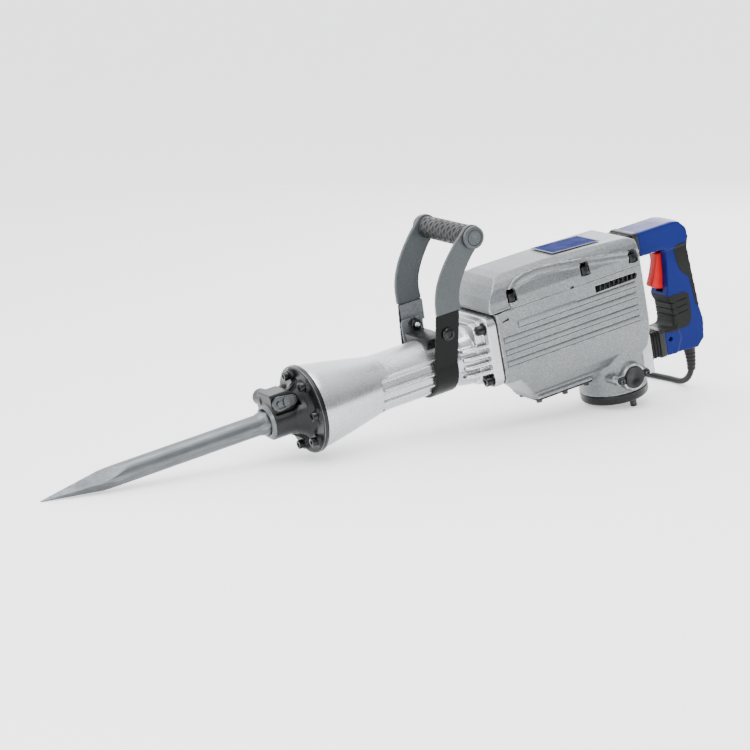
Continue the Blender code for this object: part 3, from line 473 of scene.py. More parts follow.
# The barrel's silver: smoother than the cast silver, which is its own finish, and far lighter in colour, which
# is painted highlight.
SMOOTH_LIT_BARREL_SILVER = Grained(
    "smooth_barrel_silver_painted_highlight", (0.52, 0.53, 0.54), 0.27, 0.9, 0.05, 0.5, shade=(0.43, 0.44, 0.45),
    rubbed=(0.9, 0.91, 0.92), wear=0.8, edge=0.515, grain=900.0, depth=0.0002, relief=0.12,
)
BRACKET_GREY = Grained(
    "bracket_grey", (0.66, 0.67, 0.68), 0.48, 0.3, shade=(0.52, 0.53, 0.54),
    rubbed=(0.85, 0.85, 0.86), wear=0.4, grain=900.0, relief=0.15,
)
BLACK_CAST = Grained(
    "black_cast", (0.006, 0.0064, 0.007), 0.32, 0.1, 0.05, 0.28, shade=(0.004, 0.004, 0.005),
    rubbed=(0.16, 0.17, 0.18), wear=0.5, edge=0.55, grain=520.0, depth=0.0004, relief=0.35,
)
BLACK_STEEL = Grained(
    "black_steel", (0.01, 0.011, 0.012), 0.25, 0.5, 0.1, 0.35, shade=(0.01, 0.01, 0.011),
    rubbed=(0.24, 0.24, 0.25), wear=0.5, edge=0.54, grain=1100.0, relief=0.12,
)
STRAP_BLACK = Grained(
    "strap_black", (0.003, 0.0032, 0.0034), 0.34, 0.0, 0.0, 0.12, shade=(0.002, 0.0022, 0.0022),
    rubbed=(0.05, 0.055, 0.055), wear=0.4, grain=900.0, depth=0.0001, relief=0.15,
)
# Painted light: a light grey that stands for the lit inner face of the black strap on the far side, and for its
# tab.
LIT_STRAP_GREY = Grained(
    "painted_lit_strap_grey", (0.125, 0.138, 0.146), 0.45, 0.4, 0.0, 0.3, shade=(0.115, 0.127, 0.135),
    rubbed=(0.3, 0.31, 0.32), wear=0.2, edge=0.57, grain=700.0, depth=0.0001, relief=0.12,
)
SLEEVE = Grained(
    "sleeve", (0.054, 0.062, 0.066), 0.4, 0.0, 0.03, 0.3, shade=(0.042, 0.048, 0.051),
    rubbed=(0.11, 0.12, 0.125), wear=0.35, grain=1300.0, depth=0.0001, relief=0.18,
)
RUBBER = Grained(
    "rubber", (0.012, 0.013, 0.0135), 0.42, 0.0, 0.0, 0.3, shade=(0.005, 0.0055, 0.006),
    rubbed=(0.03, 0.032, 0.033), wear=0.4, grain=1000.0, depth=0.00015, relief=0.25, dust=0.08,
)
INLAY = Grained(
    "inlay_rubber", (0.01, 0.011, 0.0105), 0.52, 0.0, 0.0, 0.15, shade=(0.006, 0.0065, 0.0062),
    rubbed=(0.07, 0.074, 0.07), wear=0.3, grain=1200.0, depth=0.0001, relief=0.25, dust=0.05,
)
BELLOWS_RUBBER = Grained(
    "bellows_rubber", (0.008, 0.008, 0.009), 0.5, 0.0, 0.0, 0.2, shade=(0.008, 0.008, 0.008),
    rubbed=(0.05, 0.05, 0.05), wear=0.3, grain=1200.0, depth=0.0001, relief=0.2,
)
BLUE = Grained(
    "blue_plastic", (0.0028, 0.0105, 0.125), 0.4, 0.0, 0.0, 0.12, shade=(0.0024, 0.009, 0.11),
    rubbed=(0.02, 0.045, 0.28), wear=0.5, edge=0.52, grain=1500.0, depth=0.00008, relief=0.14,
)
RED = Grained(
    "red_plastic", (0.66, 0.008, 0.01), 0.32, 0.0, 0.0, 0.2, shade=(0.68, 0.008, 0.008),
    rubbed=(0.85, 0.07, 0.06), wear=0.4, grain=1500.0, depth=0.00008, relief=0.1,
)
BLACK_PLASTIC = Grained(
    "black_plastic", (0.006, 0.0065, 0.007), 0.36, 0.0, 0.05, 0.25, shade=(0.004, 0.004, 0.0045),
    rubbed=(0.07, 0.07, 0.07), wear=0.4, grain=1300.0, depth=0.0001, relief=0.16,
)
WHITE_PLASTIC = Grained(
    "white_plastic", (0.82, 0.82, 0.8), 0.35, 0.0, 0.1, shade=(0.74, 0.74, 0.72),
    rubbed=(0.9, 0.9, 0.9), wear=0.2, grain=1400.0, depth=0.00005, relief=0.08,
)
CORD_RUBBER = Grained(
    "cord_rubber", (0.006, 0.006, 0.0065), 0.42, 0.0, 0.03, 0.25, shade=(0.004, 0.004, 0.004),
    rubbed=(0.04, 0.04, 0.04), wear=0.2, grain=900.0, depth=0.00008, relief=0.15, dust=0.05,
)
CARBON = Grained(
    "carbon", (0.03, 0.03, 0.032), 0.6, 0.2, shade=(0.015, 0.015, 0.015),
    rubbed=(0.09, 0.09, 0.09), wear=0.3, grain=2400.0, depth=0.0001, relief=0.4,
)
CHISEL_STEEL = Drawn(
    "chisel_steel", (0.17, 0.185, 0.195), 0.4, 0.75, shade=(0.1, 0.11, 0.115), density=1300.0,
    relief=0.22, stain=(0.08, 0.088, 0.092), stained=0.5,
)
BRIGHT_STEEL = Drawn(
    "bright_steel", (0.62, 0.63, 0.64), 0.24, 1.0, shade=(0.48, 0.49, 0.5), stretch=(1.0, 0.2, 0.2),
    density=1500.0, relief=0.08, stained=0.1,
)
SOCKET_GREY = Drawn(
    "lever_steel", (0.085, 0.09, 0.095), 0.34, 0.7, shade=(0.04, 0.043, 0.046), stretch=(0.4, 0.4, 1.0),
    density=900.0, relief=0.2, stain=(0.08, 0.085, 0.09), stained=0.5,
)
COPPER = Drawn(
    "copper", (0.72, 0.34, 0.19), 0.28, 1.0, shade=(0.58, 0.26, 0.14), stretch=(0.05, 1.0, 1.0), stained=0.1
)

SLOT_FINISHES: dict[str, Finish] = {
    "cast_silver": CAST_SILVER,
    "black_cast": BLACK_CAST,
    "black_steel": BLACK_STEEL,
    "steel": BRIGHT_STEEL,
    "copper": COPPER,
    "strap": STRAP_BLACK,
    "sleeve": SLEEVE,
    "rubber": RUBBER,
    "blue_plastic": BLUE,
    "red_plastic": RED,
    "black_plastic": BLACK_PLASTIC,
    "white_plastic": WHITE_PLASTIC,
    "bracket_grey": BRACKET_GREY,
    "cord_rubber": CORD_RUBBER,
    "carbon": CARBON,
}


# ---------------------------------------------------------------- making meshes


ON_THE_LINE = 1e-7  # a turned profile's radius below this is a point on its line


class Plane(Enum):
    """The tool's flat planes, each with its outline's two axes and its thickness."""

    XZ = ((1, 0, 0), (0, 0, 1), (0, 1, 0))
    YZ = ((0, 1, 0), (0, 0, 1), (1, 0, 0))
    XY = ((1, 0, 0), (0, 1, 0), (0, 0, 1))


def shown(name: str, data: bpy.types.ID) -> Piece:
    """A new object in the scene that holds the given mesh, curve, light or camera."""
    piece = bpy.data.objects.new(name, data)
    bpy.context.scene.collection.objects.link(piece)
    return piece


def solid(name: str, shape: bmesh.types.BMesh) -> Piece:
    """A new object that holds a mesh, its faces turned outwards.

    Args:
        name: The object's name.
        shape: The mesh, which is used up.

    Returns:
        The new object.
    """
    bmesh.ops.recalc_face_normals(shape, faces=shape.faces)
    mesh = bpy.data.meshes.new(name)
    shape.to_mesh(mesh)
    shape.free()
    return shown(name, mesh)


def prism(name: str, outline: Iterable[Point2], plane: Plane, low: float, high: float) -> Piece:
    """A flat outline with thickness.

    Args:
        name: The object's name.
        outline: Its corners, in order.
        plane: The plane they lie in.
        low: Where the thickness starts.
        high: Where it ends.

    Returns:
        The new object.
    """
    across, up, through = (Vector(axis) for axis in plane.value)
    corners = [across * x + up * y for x, y in outline]
    shape = bmesh.new()
    layers = [[shape.verts.new(corner + through * level) for corner in corners] for level in (low, high)]
    shape.faces.new(layers[0])
    shape.faces.new(layers[1])
    count = len(corners)
    for i in range(count):
        j = (i + 1) % count
        shape.faces.new((layers[0][i], layers[0][j], layers[1][j], layers[1][i]))
    return solid(name, shape)


def frame_along(along: Point3, origin: Point3 = (0, 0, 0)) -> Matrix:
    """A frame whose Z runs along a direction.

    Args:
        along: The direction.
        origin: Where the frame stands.

    Returns:
        The frame.
    """
    z_axis = Vector(along).normalized()
    helper = Vector((0, 0, 1)) if abs(z_axis.z) < 0.9 else Vector((1, 0, 0))
    x_axis = helper.cross(z_axis).normalized()
    turn = Matrix((x_axis, z_axis.cross(x_axis), z_axis)).transposed().to_4x4()
    return Matrix.Translation(Vector(origin)) @ turn


def turned(name: str, profile: Sequence[Point2], origin: Point3, along: Point3, sides: int = 64) -> Piece:
    """A profile turned about a line.

    Args:
        name: The object's name.
        profile: (radius, distance along the line) pairs; a profile that starts off the line is closed.
        origin: The point that distances are measured from.
        along: The line's direction.
        sides: Steps in a full turn.

    Returns:
        The new object.
    """
    place = frame_along(along, origin)
    shape = bmesh.new()
    rings: list[list[bmesh.types.BMVert]] = []
    for radius, height in profile:
        if radius < ON_THE_LINE:
            rings.append([shape.verts.new(place @ Vector((0, 0, height)))])
            continue
        turn = [2 * math.pi * step / sides for step in range(sides)]
        ring = [Vector((radius * math.cos(a), radius * math.sin(a), height)) for a in turn]
        rings.append([shape.verts.new(place @ point) for point in ring])
    pairs = list(zip(rings, rings[1:]))
    if profile[0][0] > ON_THE_LINE:
        pairs.append((rings[-1], rings[0]))
    for first, second in pairs:
        for i in range(sides):
            j = (i + 1) % sides
            ends = [ring[k % len(ring)] for ring, k in ((first, i), (first, j), (second, j), (second, i))]
            corners = list(dict.fromkeys(ends))
            if len(corners) > 2:
                shape.faces.new(corners)
    return solid(name, shape)


def rod(
    name: str, start: Point3, end: Point3, radius: float, end_radius: float | None = None, sides: int = 48
) -> Piece:
    """A round bar or cone between two points.

    Args:
        name: The object's name.
        start: The middle of its first end.
        end: The middle of its other end.
        radius: Its radius at the start.
        end_radius: Its radius at the end, if that differs.
        sides: Steps in a full turn.

    Returns:
        The new object.
    """
    way = Vector(end) - Vector(start)
    last = radius if end_radius is None else end_radius
    return turned(name, [(0, 0), (radius, 0), (last, way.length), (0, way.length)], start, way, sides)


def sleeve(name: str, start: Point3, end: Point3, outer: float, inner: float, sides: int = 64) -> Piece:
    """A round tube between two points.

    Args:
        name: The object's name.
        start: The middle of its first end.
        end: The middle of its other end.
        outer: Its outer radius.
        inner: Its inner radius.
        sides: Steps in a full turn.

    Returns:
        The new object.
    """
    way = Vector(end) - Vector(start)
    profile = [(outer, 0), (outer, way.length), (inner, way.length), (inner, 0)]
    return turned(name, profile, start, way, sides)


def block(name: str, low: Point3, high: Point3) -> Piece:
    """A box between two corners."""
    outline = [(low[0], low[2]), (high[0], low[2]), (high[0], high[2]), (low[0], high[2])]
    return prism(name, outline, Plane.XZ, low[1], high[1])


def line_through(points: Sequence[Point3], spacing: float) -> list[Vector]:
    """Evenly spaced points along a smooth curve through the given ones.

    Args:
        points: The points, in order.
        spacing: How far apart the new points lie.

    Returns:
        The new points.
    """
    given = [Vector(point) for point in points]
    ends = [2 * given[0] - given[1], *given, 2 * given[-1] - given[-2]]
    fine: list[Vector] = []
    for p0, p1, p2, p3 in zip(ends, ends[1:], ends[2:], ends[3:]):
        for step in range(24):
            t = step / 24
            cubic = (3 * p1 - p0 - 3 * p2 + p3) * t**3
            square = (2 * p0 - 5 * p1 + 4 * p2 - p3) * t**2
            fine.append(0.5 * (2 * p1 + (p2 - p0) * t + square + cubic))
    fine.append(given[-1])
    lengths = [0.0]
    for first, second in zip(fine, fine[1:]):
        lengths.append(lengths[-1] + (second - first).length)
    count = max(2, round(lengths[-1] / spacing))
    line, place = [], 0
    for step in range(count + 1):
        wanted = lengths[-1] * step / count
        while place < len(fine) - 2 and lengths[place + 1] < wanted:
            place += 1
        share = (wanted - lengths[place]) / (lengths[place + 1] - lengths[place])
        line.append(fine[place].lerp(fine[place + 1], share))
    return line


def skin(shape: bmesh.types.BMesh, rings: Sequence[Sequence[bmesh.types.BMVert]]) -> None:
    """Joins rings of points one after another, and closes both ends.

    Args:
        shape: The mesh that holds the points.
        rings: The rings, all with as many points.
    """
    count = len(rings[0])
    for first, second in zip(rings, rings[1:]):
        for i in range(count):
            j = (i + 1) % count
            shape.faces.new((first[i], first[j], second[j], second[i]))
    shape.faces.new(rings[0])
    shape.faces.new(rings[-1])


def swept(name: str, line: Sequence[Vector], section: Callable[[float], Sequence[Point2]]) -> Piece:
    """A closed section carried along a line without twisting.

    Args:
        name: The object's name.
        line: The points of the line.
        section: Gives the section's corners for a share of the way, 0 to 1.

    Returns:
        The new object.
    """
    shape = bmesh.new()
    rings = []
    last = len(line) - 1
    side = None
    for number, point in enumerate(line):
        ahead = (line[min(number + 1, last)] - line[max(number - 1, 0)]).normalized()
        if side is None:
            helper = Vector((0, 0, 1)) if abs(ahead.z) < 0.9 else Vector((0, 1, 0))
            side = helper.cross(ahead).normalized()
        side = (side - ahead * side.dot(ahead)).normalized()
        up = ahead.cross(side)
        rings.append([shape.verts.new(point + side * x + up * y) for x, y in section(number / last)])
    skin(shape, rings)
    return solid(name, shape)


def round_section(radius: float, sides: int = 16) -> list[Point2]:
    """The corners of a circle."""
    turn = [2 * math.pi * step / sides for step in range(sides)]
    return [(radius * math.cos(a), radius * math.sin(a)) for a in turn]


def hexagon_corner(half_across: float) -> float:
    """How far a hexagon's corners lie from its middle, from half its width across the flats."""
    return half_across / math.cos(math.radians(30))


def arc(centre: Point2, radius: float, start: float, end: float, steps: int) -> list[Point2]:
    """Points along an arc, angles in degrees."""
    turn = [math.radians(start + (end - start) * step / steps) for step in range(steps + 1)]
    return [(centre[0] + radius * math.cos(a), centre[1] + radius * math.sin(a)) for a in turn]


def rounded_rectangle(low: Point2, high: Point2, radius: float, steps: int = 5) -> list[Point2]:
    """The corners of a rectangle with rounded ends."""
    (x0, y0), (x1, y1) = low, high
    return (
        arc((x1 - radius, y0 + radius), radius, -90, 0, steps)
        + arc((x1 - radius, y1 - radius), radius, 0, 90, steps)
        + arc((x0 + radius, y1 - radius), radius, 90, 180, steps)
        + arc((x0 + radius, y0 + radius), radius, 180, 270, steps)
    )


def applied(piece: Piece) -> Piece:
    """The same object with its modifiers made part of its mesh.

    Args:
        piece: The object.

    Returns:
        The object.
    """
    graph = bpy.context.evaluated_depsgraph_get()
    mesh = bpy.data.meshes.new_from_object(piece.evaluated_get(graph))
    old = piece.data
    piece.modifiers.clear()
    piece.data = mesh
    bpy.data.meshes.remove(old)
    return piece


def combined(piece: Piece, operation: str, others: Sequence[Piece]) -> Piece:
    """Joins, carves or trims a piece with others, which are used up.

    Args:
        piece: The piece that is kept.
        operation: UNION, DIFFERENCE or INTERSECT.
        others: The other solids.

    Returns:
        The piece.
    """
    for other in others:
        step = piece.modifiers.new(other.name, "BOOLEAN")
        step.operation = operation
        step.object = other
        step.solver = "MANIFOLD"
    applied(piece)
    for other in others:
        mesh = other.data
        bpy.data.objects.remove(other)
        bpy.data.meshes.remove(mesh)
    return piece


def joined(piece: Piece, *others: Piece) -> Piece:
    """A piece made one with others."""
    return combined(piece, "UNION", others)


def carved(piece: Piece, *others: Piece) -> Piece:
    """A piece with others cut out of it."""
    return combined(piece, "DIFFERENCE", others)


def trimmed(piece: Piece, *others: Piece) -> Piece:
    """What a piece shares with others."""
    return combined(piece, "INTERSECT", others)


def cast(piece: Piece, voxel: float, rounds: int) -> Piece:
    """Softens a solid's edges and corners, as a casting or moulding has them.

    Args:
        piece: The solid.
        voxel: Size of the mesh's steps.
        rounds: How often it is smoothed.

    Returns:
        The piece.
    """
    remesh = piece.modifiers.new("cast", "REMESH")
    remesh.mode = "VOXEL"
    remesh.voxel_size = voxel
    soften = piece.modifiers.new("soften", "SMOOTH")
    soften.factor = 0.5
    soften.iterations = rounds
    return applied(piece)


def rounded(piece: Piece, width: float, segments: int = 3, angle: float = 30.0) -> Piece:
    """Rounds a piece's sharp edges.

    Args:
        piece: The solid.
        width: How wide the rounding is.
        segments: Its steps.
        angle: Edges flatter than this stay as they are, in degrees.

    Returns:
        The piece.
    """
    edge = piece.modifiers.new("rounded edges", "BEVEL")
    edge.width = width
    edge.segments = segments
    edge.limit_method = "ANGLE"
    edge.angle_limit = math.radians(angle)
    return applied(piece)


def shaded(piece: Piece, angle: float = 35.0) -> Piece:
    """Shades a piece smooth, except at edges sharper than an angle.

    Args:
        piece: The piece.
        angle: The angle, in degrees.

    Returns:
        The piece.
    """
    piece.data.shade_smooth()
    piece.data.set_sharp_from_angle(angle=math.radians(angle))
    return piece


def reshaped(piece: Piece, rule: Callable[[Vector], Vector]) -> Piece:
    """Moves each of a piece's points by a rule.

    Args:
        piece: The piece.
        rule: Gives a point's new place.

    Returns:
        The piece.
    """
    for vertex in piece.data.vertices:
        vertex.co = rule(vertex.co)
    piece.data.update()
    return piece


def fattened(piece: Piece, name: str, by: float) -> Piece:
    """A copy of a piece whose skin is moved outwards.

    Args:
        piece: The piece that is copied.
        name: The copy's name.
        by: How far its skin moves.

    Returns:
        The copy.
    """
    mesh = piece.data.copy()
    normals = [vertex.normal.copy() for vertex in mesh.vertices]
    for vertex, normal in zip(mesh.vertices, normals):
        vertex.co += normal * by
    mesh.update()
    return shown(name, mesh)


def applied_scale(piece: Piece) -> Piece:
    """The same object with its place and scale moved into its mesh.

    Args:
        piece: The object.

    Returns:
        The object.
    """
    bpy.context.view_layer.update()
    piece.data.transform(piece.matrix_world)
    piece.matrix_world = Matrix.Identity(4)
    shape = bmesh.new()
    shape.from_mesh(piece.data)
    bmesh.ops.recalc_face_normals(shape, faces=shape.faces)
    shape.to_mesh(piece.data)
    shape.free()
    return piece


@dataclass(frozen=True)
class CapScrew:
    """A black cap screw with a hexagon socket and a knurled rim.

    Attributes:
        radius: The head's radius.
        height: The head's height.
        washer: A washer's thickness, or 0 for none.
    """

    radius: float
    height: float
    washer: float = 0.0

    def mesh(self) -> bpy.types.Mesh:
        """The screw's mesh, seated at the origin and facing up, built when it is first asked for.

        Returns:
            The mesh.
        """
        sizes = (self.radius, self.height, self.washer)
        name = "cap_screw_" + "_".join(f"{size * 1e4:.0f}" for size in sizes)
        if name in bpy.data.meshes:
            return bpy.data.meshes[name]
        r, h, rim, low = self.radius, self.height, self.radius * 0.12, self.washer
        profile = [(0, -0.002), (r * 0.55, -0.002), (r * 0.55, 0.0)]
        if low:
            profile += [(r * 1.25, 0.0), (r * 1.32, low * 0.3), (r * 1.3, low), (r, low)]
        else:
            profile += [(r, 0.0)]
        profile += [(r, h - rim), (r - rim * 0.35, h - rim * 0.3), (r - rim, h), (0, h)]
        head = turned(name, profile, (0, 0, 0), (0, 0, 1), 36)
        socket = rod("socket", (0, 0, h * 0.45), (0, 0, h + 0.001), r * 0.56, sides=6)
        carved(head, socket)
        mesh = head.data
        mesh.name = name
        bpy.data.objects.remove(head)
        return mesh

    def placed(self, name: str, seat: Point3, along: Point3) -> Piece:
        """A screw on a seat, its head standing along a direction.

        Args:
            name: The object's name.
            seat: Where the underside of its head lies.
            along: The direction.

        Returns:
            The new object.
        """
        piece = shown(name, self.mesh().copy())
        piece.matrix_world = frame_along(along, seat)
        return piece


class Settled(Enum):
    """Which frame a piece was drawn in."""

    TOOL = "tool"
    FLOOR = "floor"


@dataclass
class SubAssembly(ABC):
    """A group of pieces that belong together.

    Attributes:
        body: The CAD body that its pieces ride on.
        pieces: The pieces built so far.
    """

    body: str = "housing"
    pieces: list[Piece] = field(default_factory=list)

    def fit(
        self,
        piece: Piece,
        finish: Finish,
        slot: str,
        *stands_for: str,
        body: str | None = None,
        angle: float = 35.0,
        settled: Settled = Settled.TOOL,
    ) -> Piece:
        """Dresses a piece and mounts it on its body.

        Args:
            piece: The finished solid.
            finish: Its finish.
            slot: The record's material slot; not used.
            *stands_for: The CAD nodes that it replaces.
            body: Its body, if not the assembly's.
            angle: Edges sharper than this stay sharp.
            settled: The frame it was drawn in.

        Returns:
            The piece.
        """
        if piece.type == "MESH":
            shaded(piece, angle)
        piece.data.materials.clear()
        piece.data.materials.append(finish.material())
        if settled is Settled.TOOL:
            piece.data.transform(TOOL_FRAME @ piece.matrix_world)
            piece.matrix_world = Matrix.Identity(4)
        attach(piece, body or self.body)
        if stands_for:
            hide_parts(*stands_for)
        self.pieces.append(piece)
        return piece

    def fit_screw(self, screw: CapScrew, name: str, seat: Point3, along: Point3, *stands_for: str) -> None:
        """Seats a cap screw and mounts it.

        Args:
            screw: Its kind.
            name: The piece's name.
            seat: Where the underside of its head lies.
            along: The way that its head stands.
            *stands_for: The CAD nodes that it replaces.
        """
        piece = screw.placed(name, seat, along)
        self.fit(piece, BLACK_STEEL, "black_steel", *stands_for, angle=30)

    @abstractmethod
    def build(self) -> None:
        """Builds and dresses every piece."""


# ---------------------------------------------------------------- the studio and the lead


@dataclass
class Studio:
    """The pale floor, the soft lights and the camera.

    Attributes:
        place: Where the camera stands.
        right: The direction to the right of its picture.
        up: The direction up its picture.
        lens: Its focal length in millimetres, on a 36 mm sensor.
    """

    place: Point3 = (-1.5723, -2.7318, 0.8014)
    right: Point3 = (0.8664, -0.498, -0.0327)
    up: Point3 = (0.1371, 0.175, 0.9753)
    lens: float = 115.95

    def build_camera(self) -> None:
        """Sets up the camera."""
        right = Vector(self.right).normalized()
        up = Vector(self.up)
        up = (up - right * up.dot(right)).normalized()
        back = right.cross(up)
        data = bpy.data.cameras.new("camera")
        data.lens = self.lens
        data.sensor_width = 36.0
        camera = shown("camera", data)
        turn = Matrix((right, up, back)).transposed().to_4x4()
        camera.matrix_world = Matrix.Translation(Vector(self.place)) @ turn
        bpy.context.scene.camera = camera

    def build_light(self, name: str, place: Point3, aim: Point3, size: Point2, power: float) -> None:
        """Hangs one rectangular soft light.

        Args:
            name: The light's name.
            place: Where it hangs.
            aim: The point that it faces.
            size: Its width and height.
            power: Its power in watts.
        """
        data = bpy.data.lights.new(name, "AREA")
        data.shape = "RECTANGLE"
        data.size, data.size_y = size
        data.energy = power
        light = shown(name, data)
        light.matrix_world = frame_along(Vector(place) - Vector(aim), place)

    def build_floor(self) -> None:
        """Lays a large plain floor."""
        shape = bmesh.new()
        bmesh.ops.create_grid(shape, x_segments=1, y_segments=1, size=30.0)
        floor = solid("floor", shape)
        material = bpy.data.materials.new("floor_paint")
        material.use_nodes = True
        shader = material.node_tree.nodes["Principled BSDF"]
        shader.inputs["Base Color"].default_value = paint((0.93, 0.93, 0.93))
        shader.inputs["Roughness"].default_value = 0.9
        shader.inputs["Emission Color"].default_value = paint((1.0, 1.0, 1.0))
        shader.inputs["Emission Strength"].default_value = 0.55
        shader.inputs["Specular IOR Level"].default_value = 0.1
        floor.data.materials.append(material)

    def build(self) -> None:
        """Builds the whole studio."""
        self.build_camera()
        self.build_floor()
        world = bpy.data.worlds.new("studio")
        world.use_nodes = True
        sky = world.node_tree.nodes["Background"]
        sky.inputs["Color"].default_value = paint((0.97, 0.98, 1.0))
        wiring = Wiring(world.node_tree)
        toward = wiring.put("ShaderNodeTexCoord").outputs["Generated"]
        parts = wiring.put("ShaderNodeSeparateXYZ", {0: toward})
        behind = wiring.spread(parts.outputs["Y"], -0.25, 0.45, 0.4, 3.4)
        above = wiring.spread(parts.outputs["Z"], 0.25, 0.85, 0.42, 1.7)
        wiring.link(wiring.sum_of("MAXIMUM", behind, above), sky, "Strength")
        bpy.context.scene.world = world
        self.build_light("overhead", (-0.1, -0.2, 1.9), (0.05, 0.0, 0.1), (1.6, 1.0), 38.0)
        self.build_light("front", (-1.6, -1.5, 0.9), (0.1, 0.0, 0.1), (0.7, 0.7), 24.0)
        self.build_light("rear", (1.6, 1.2, 1.0), (0.2, 0.0, 0.1), (0.8, 0.8), 16.0)


@dataclass
class MainsLead(SubAssembly):
    """The black lead: its strain relief, its run over the floor, its coil and its plug.

    Attributes:
        body: It hangs on the rear handle.
        diameter: The lead's diameter.
        exit: Where it leaves the handle.
        coil: The middle of the coil on the floor.
        layer: The radii of one layer's three turns, from outside in.
        levels: The heights of the three layers.
        top: The height of the coil's top.
        plug_radius: How high the plug's middle lies above the coil.
        plug_y: How far the plug lies from the coil's middle, across the tool.
        wound: How many turns the coil has.
    """

    body: str = "rear_handle"
    diameter: float = 0.009
    exit: Vector = field(default_factory=lambda: TOOL_FRAME @ Vector((0.616, 0.0, -0.104)))
    coil: Vector = field(default_factory=lambda: Vector((0.4286, 0.17, 0.0)))
    layer: tuple[float, float, float] = (0.0561, 0.047, 0.0379)
    levels: tuple[float, float, float] = (0.0048, 0.0139, 0.023)
    top: float = 0.0276
    plug_radius: float = 0.0122
    plug_y: float = 0.0392
    wound: float = 8.25

    def run(self) -> list[Vector]:
        """The points from the handle down to the floor and up to the coil."""
        lie = self.diameter / 2 + 0.0003
        way = (
            (0.003, 0.0, 0.0462), (0.0052, 0.0013, 0.033), (0.0065, 0.0051, 0.0238), (0.0075, 0.0111, 0.016),
            (0.0081, 0.019, 0.0099), (0.0084, 0.0282, 0.0062), (0.0085, 0.038, lie), (0.0075, 0.056, lie),
            (0.0035, 0.08, lie), (-0.0015, 0.108, lie), (-0.0055, 0.133, lie),
        )
        return [self.exit, *(Vector((self.exit.x + x, y, z)) for x, y, z in way)]

    def turns(self) -> list[Vector]:
        """The points of the coil, wound in three layers, and of the end that rises to the plug.

        Returns:
            The points, in order.
        """
        lane, layer = self.layer[0] - self.layer[1], self.levels[1] - self.levels[0]
        half, steps = 0.5, 24
        sideways = ((0.5, -lane), (1.5, -lane), (3.0, lane), (4.0, lane), (5.667, -lane), (6.667, -lane))
        rise = self.top + self.plug_radius - self.levels[2]
        upwards = ((2.333, half, layer), (4.833, half, layer), (7.55, 0.65, rise))

        def eased(share: float) -> float:
            """A share of a step that starts and ends gently."""
            share = min(1.0, max(0.0, share))
            return share * share * (3 - 2 * share)

        points = []
        for step in range(int(self.wound * steps) + 1):
            turn = step / steps
            away = self.layer[0] + sum(by * eased((turn - at) / half) for at, by in sideways)
            height = self.levels[0] + sum(by * eased((turn - at) / width) for at, width, by in upwards)
            angle = 2 * math.pi * turn
            points.append(self.coil + Vector((away * math.cos(angle), away * math.sin(angle), height)))
        points[-1].y = self.coil.y + self.plug_y
        points.append(points[-1] + Vector((-0.007, 0, 0)))
        return points

    def build_plug(self) -> Piece:
        """The two-pin plug that lies on the coil.

        Returns:
            The plug's body.
        """
        base = self.coil + Vector((0.0005, self.plug_y, self.top + self.plug_radius))
        profile = [
            (0.0, 0.04), (0.0095, 0.04), (0.0112, 0.0395), (0.0118, 0.038), (0.0118, 0.03), (0.0112, 0.0285),
            (0.0112, 0.018), (0.0118, 0.0165), (0.0116, 0.0125), (0.0098, 0.0085), (0.008, 0.0055),
            (0.008, 0.004), (0.0068, 0.0035), (0.0068, 0.002), (0.0074, 0.0015), (0.0072, 0.0), (0.0, 0.0),
        ]
        plug = turned("plug_body", profile, base, (-1, 0, 0), 48)
        grips = []
        for step in range(10):
            turn = 2 * math.pi * (step + 0.5) / 10
            side = base + Vector((0, 0.0133 * math.cos(turn), 0.0133 * math.sin(turn)))
            start, end = side - Vector((0.0125, 0, 0)), side - Vector((0.034, 0, 0))
            grips.append(rod("groove", start, end, 0.0024, sides=12))
        carved(plug, *grips)
        self.fit(plug, CORD_RUBBER, "cord_rubber", "plug", settled=Settled.FLOOR)
        for side, hand in SIDES:
            start = base + Vector((-0.039, side * 0.0055, 0))
            profile = [(0, 0), (0.0022, 0), (0.0022, 0.016), (0.0014, 0.017), (0, 0.017)]
            pin = turned(f"{hand}_plug_pin", profile, start, (-1, 0, 0), 20)
            self.fit(pin, BRIGHT_STEEL, "cord_rubber", settled=Settled.FLOOR)
        return plug

    def build_boot(self, line: Sequence[Vector]) -> Piece:
        """The tapered strain relief, ribbed along its way.

        Args:
            line: The lead's first points, which it follows.

        Returns:
            The strain relief.
        """
        last = len(line) - 1
        radii = []
        for step in range(last + 1):
            share = step / last
            radius = 0.009 - 0.003 * share
            radii.append(radius - (0.0007 if step % 6 in (3, 4) and 0.25 < share < 0.95 else 0.0))
        shape = swept("strain_relief", line, lambda share: round_section(radii[round(share * last)], 24))
        return self.fit(shape, CORD_RUBBER, "cord_rubber", "cord_boot", settled=Settled.FLOOR, angle=60)

    def build(self) -> None:
        run = line_through(self.run(), 0.006)
        boot = self.build_boot(line_through(run[:7], 0.0009))
        plug = self.build_plug()
        join = self.coil + Vector((self.layer[0], -0.012, self.levels[0]))
        points = line_through([*run[:-1], join, *self.turns()], 0.0075)
        curve = bpy.data.curves.new("mains_lead", "CURVE")
        curve.dimensions = "3D"
        curve.bevel_depth = self.diameter / 2
        curve.bevel_resolution = 5
        curve.use_fill_caps = True
        spline = curve.splines.new("POLY")
        spline.points.add(len(points) - 1)
        for slot, point in zip(spline.points, points):
            slot.co = (*point, 1.0)
        spline.use_smooth = True
        lead = shown("mains_lead", curve)
        self.fit(lead, CORD_RUBBER, "cord_rubber", "power_cord", "cord_coil", settled=Settled.FLOOR)


# ---------------------------------------------------------------- the working end


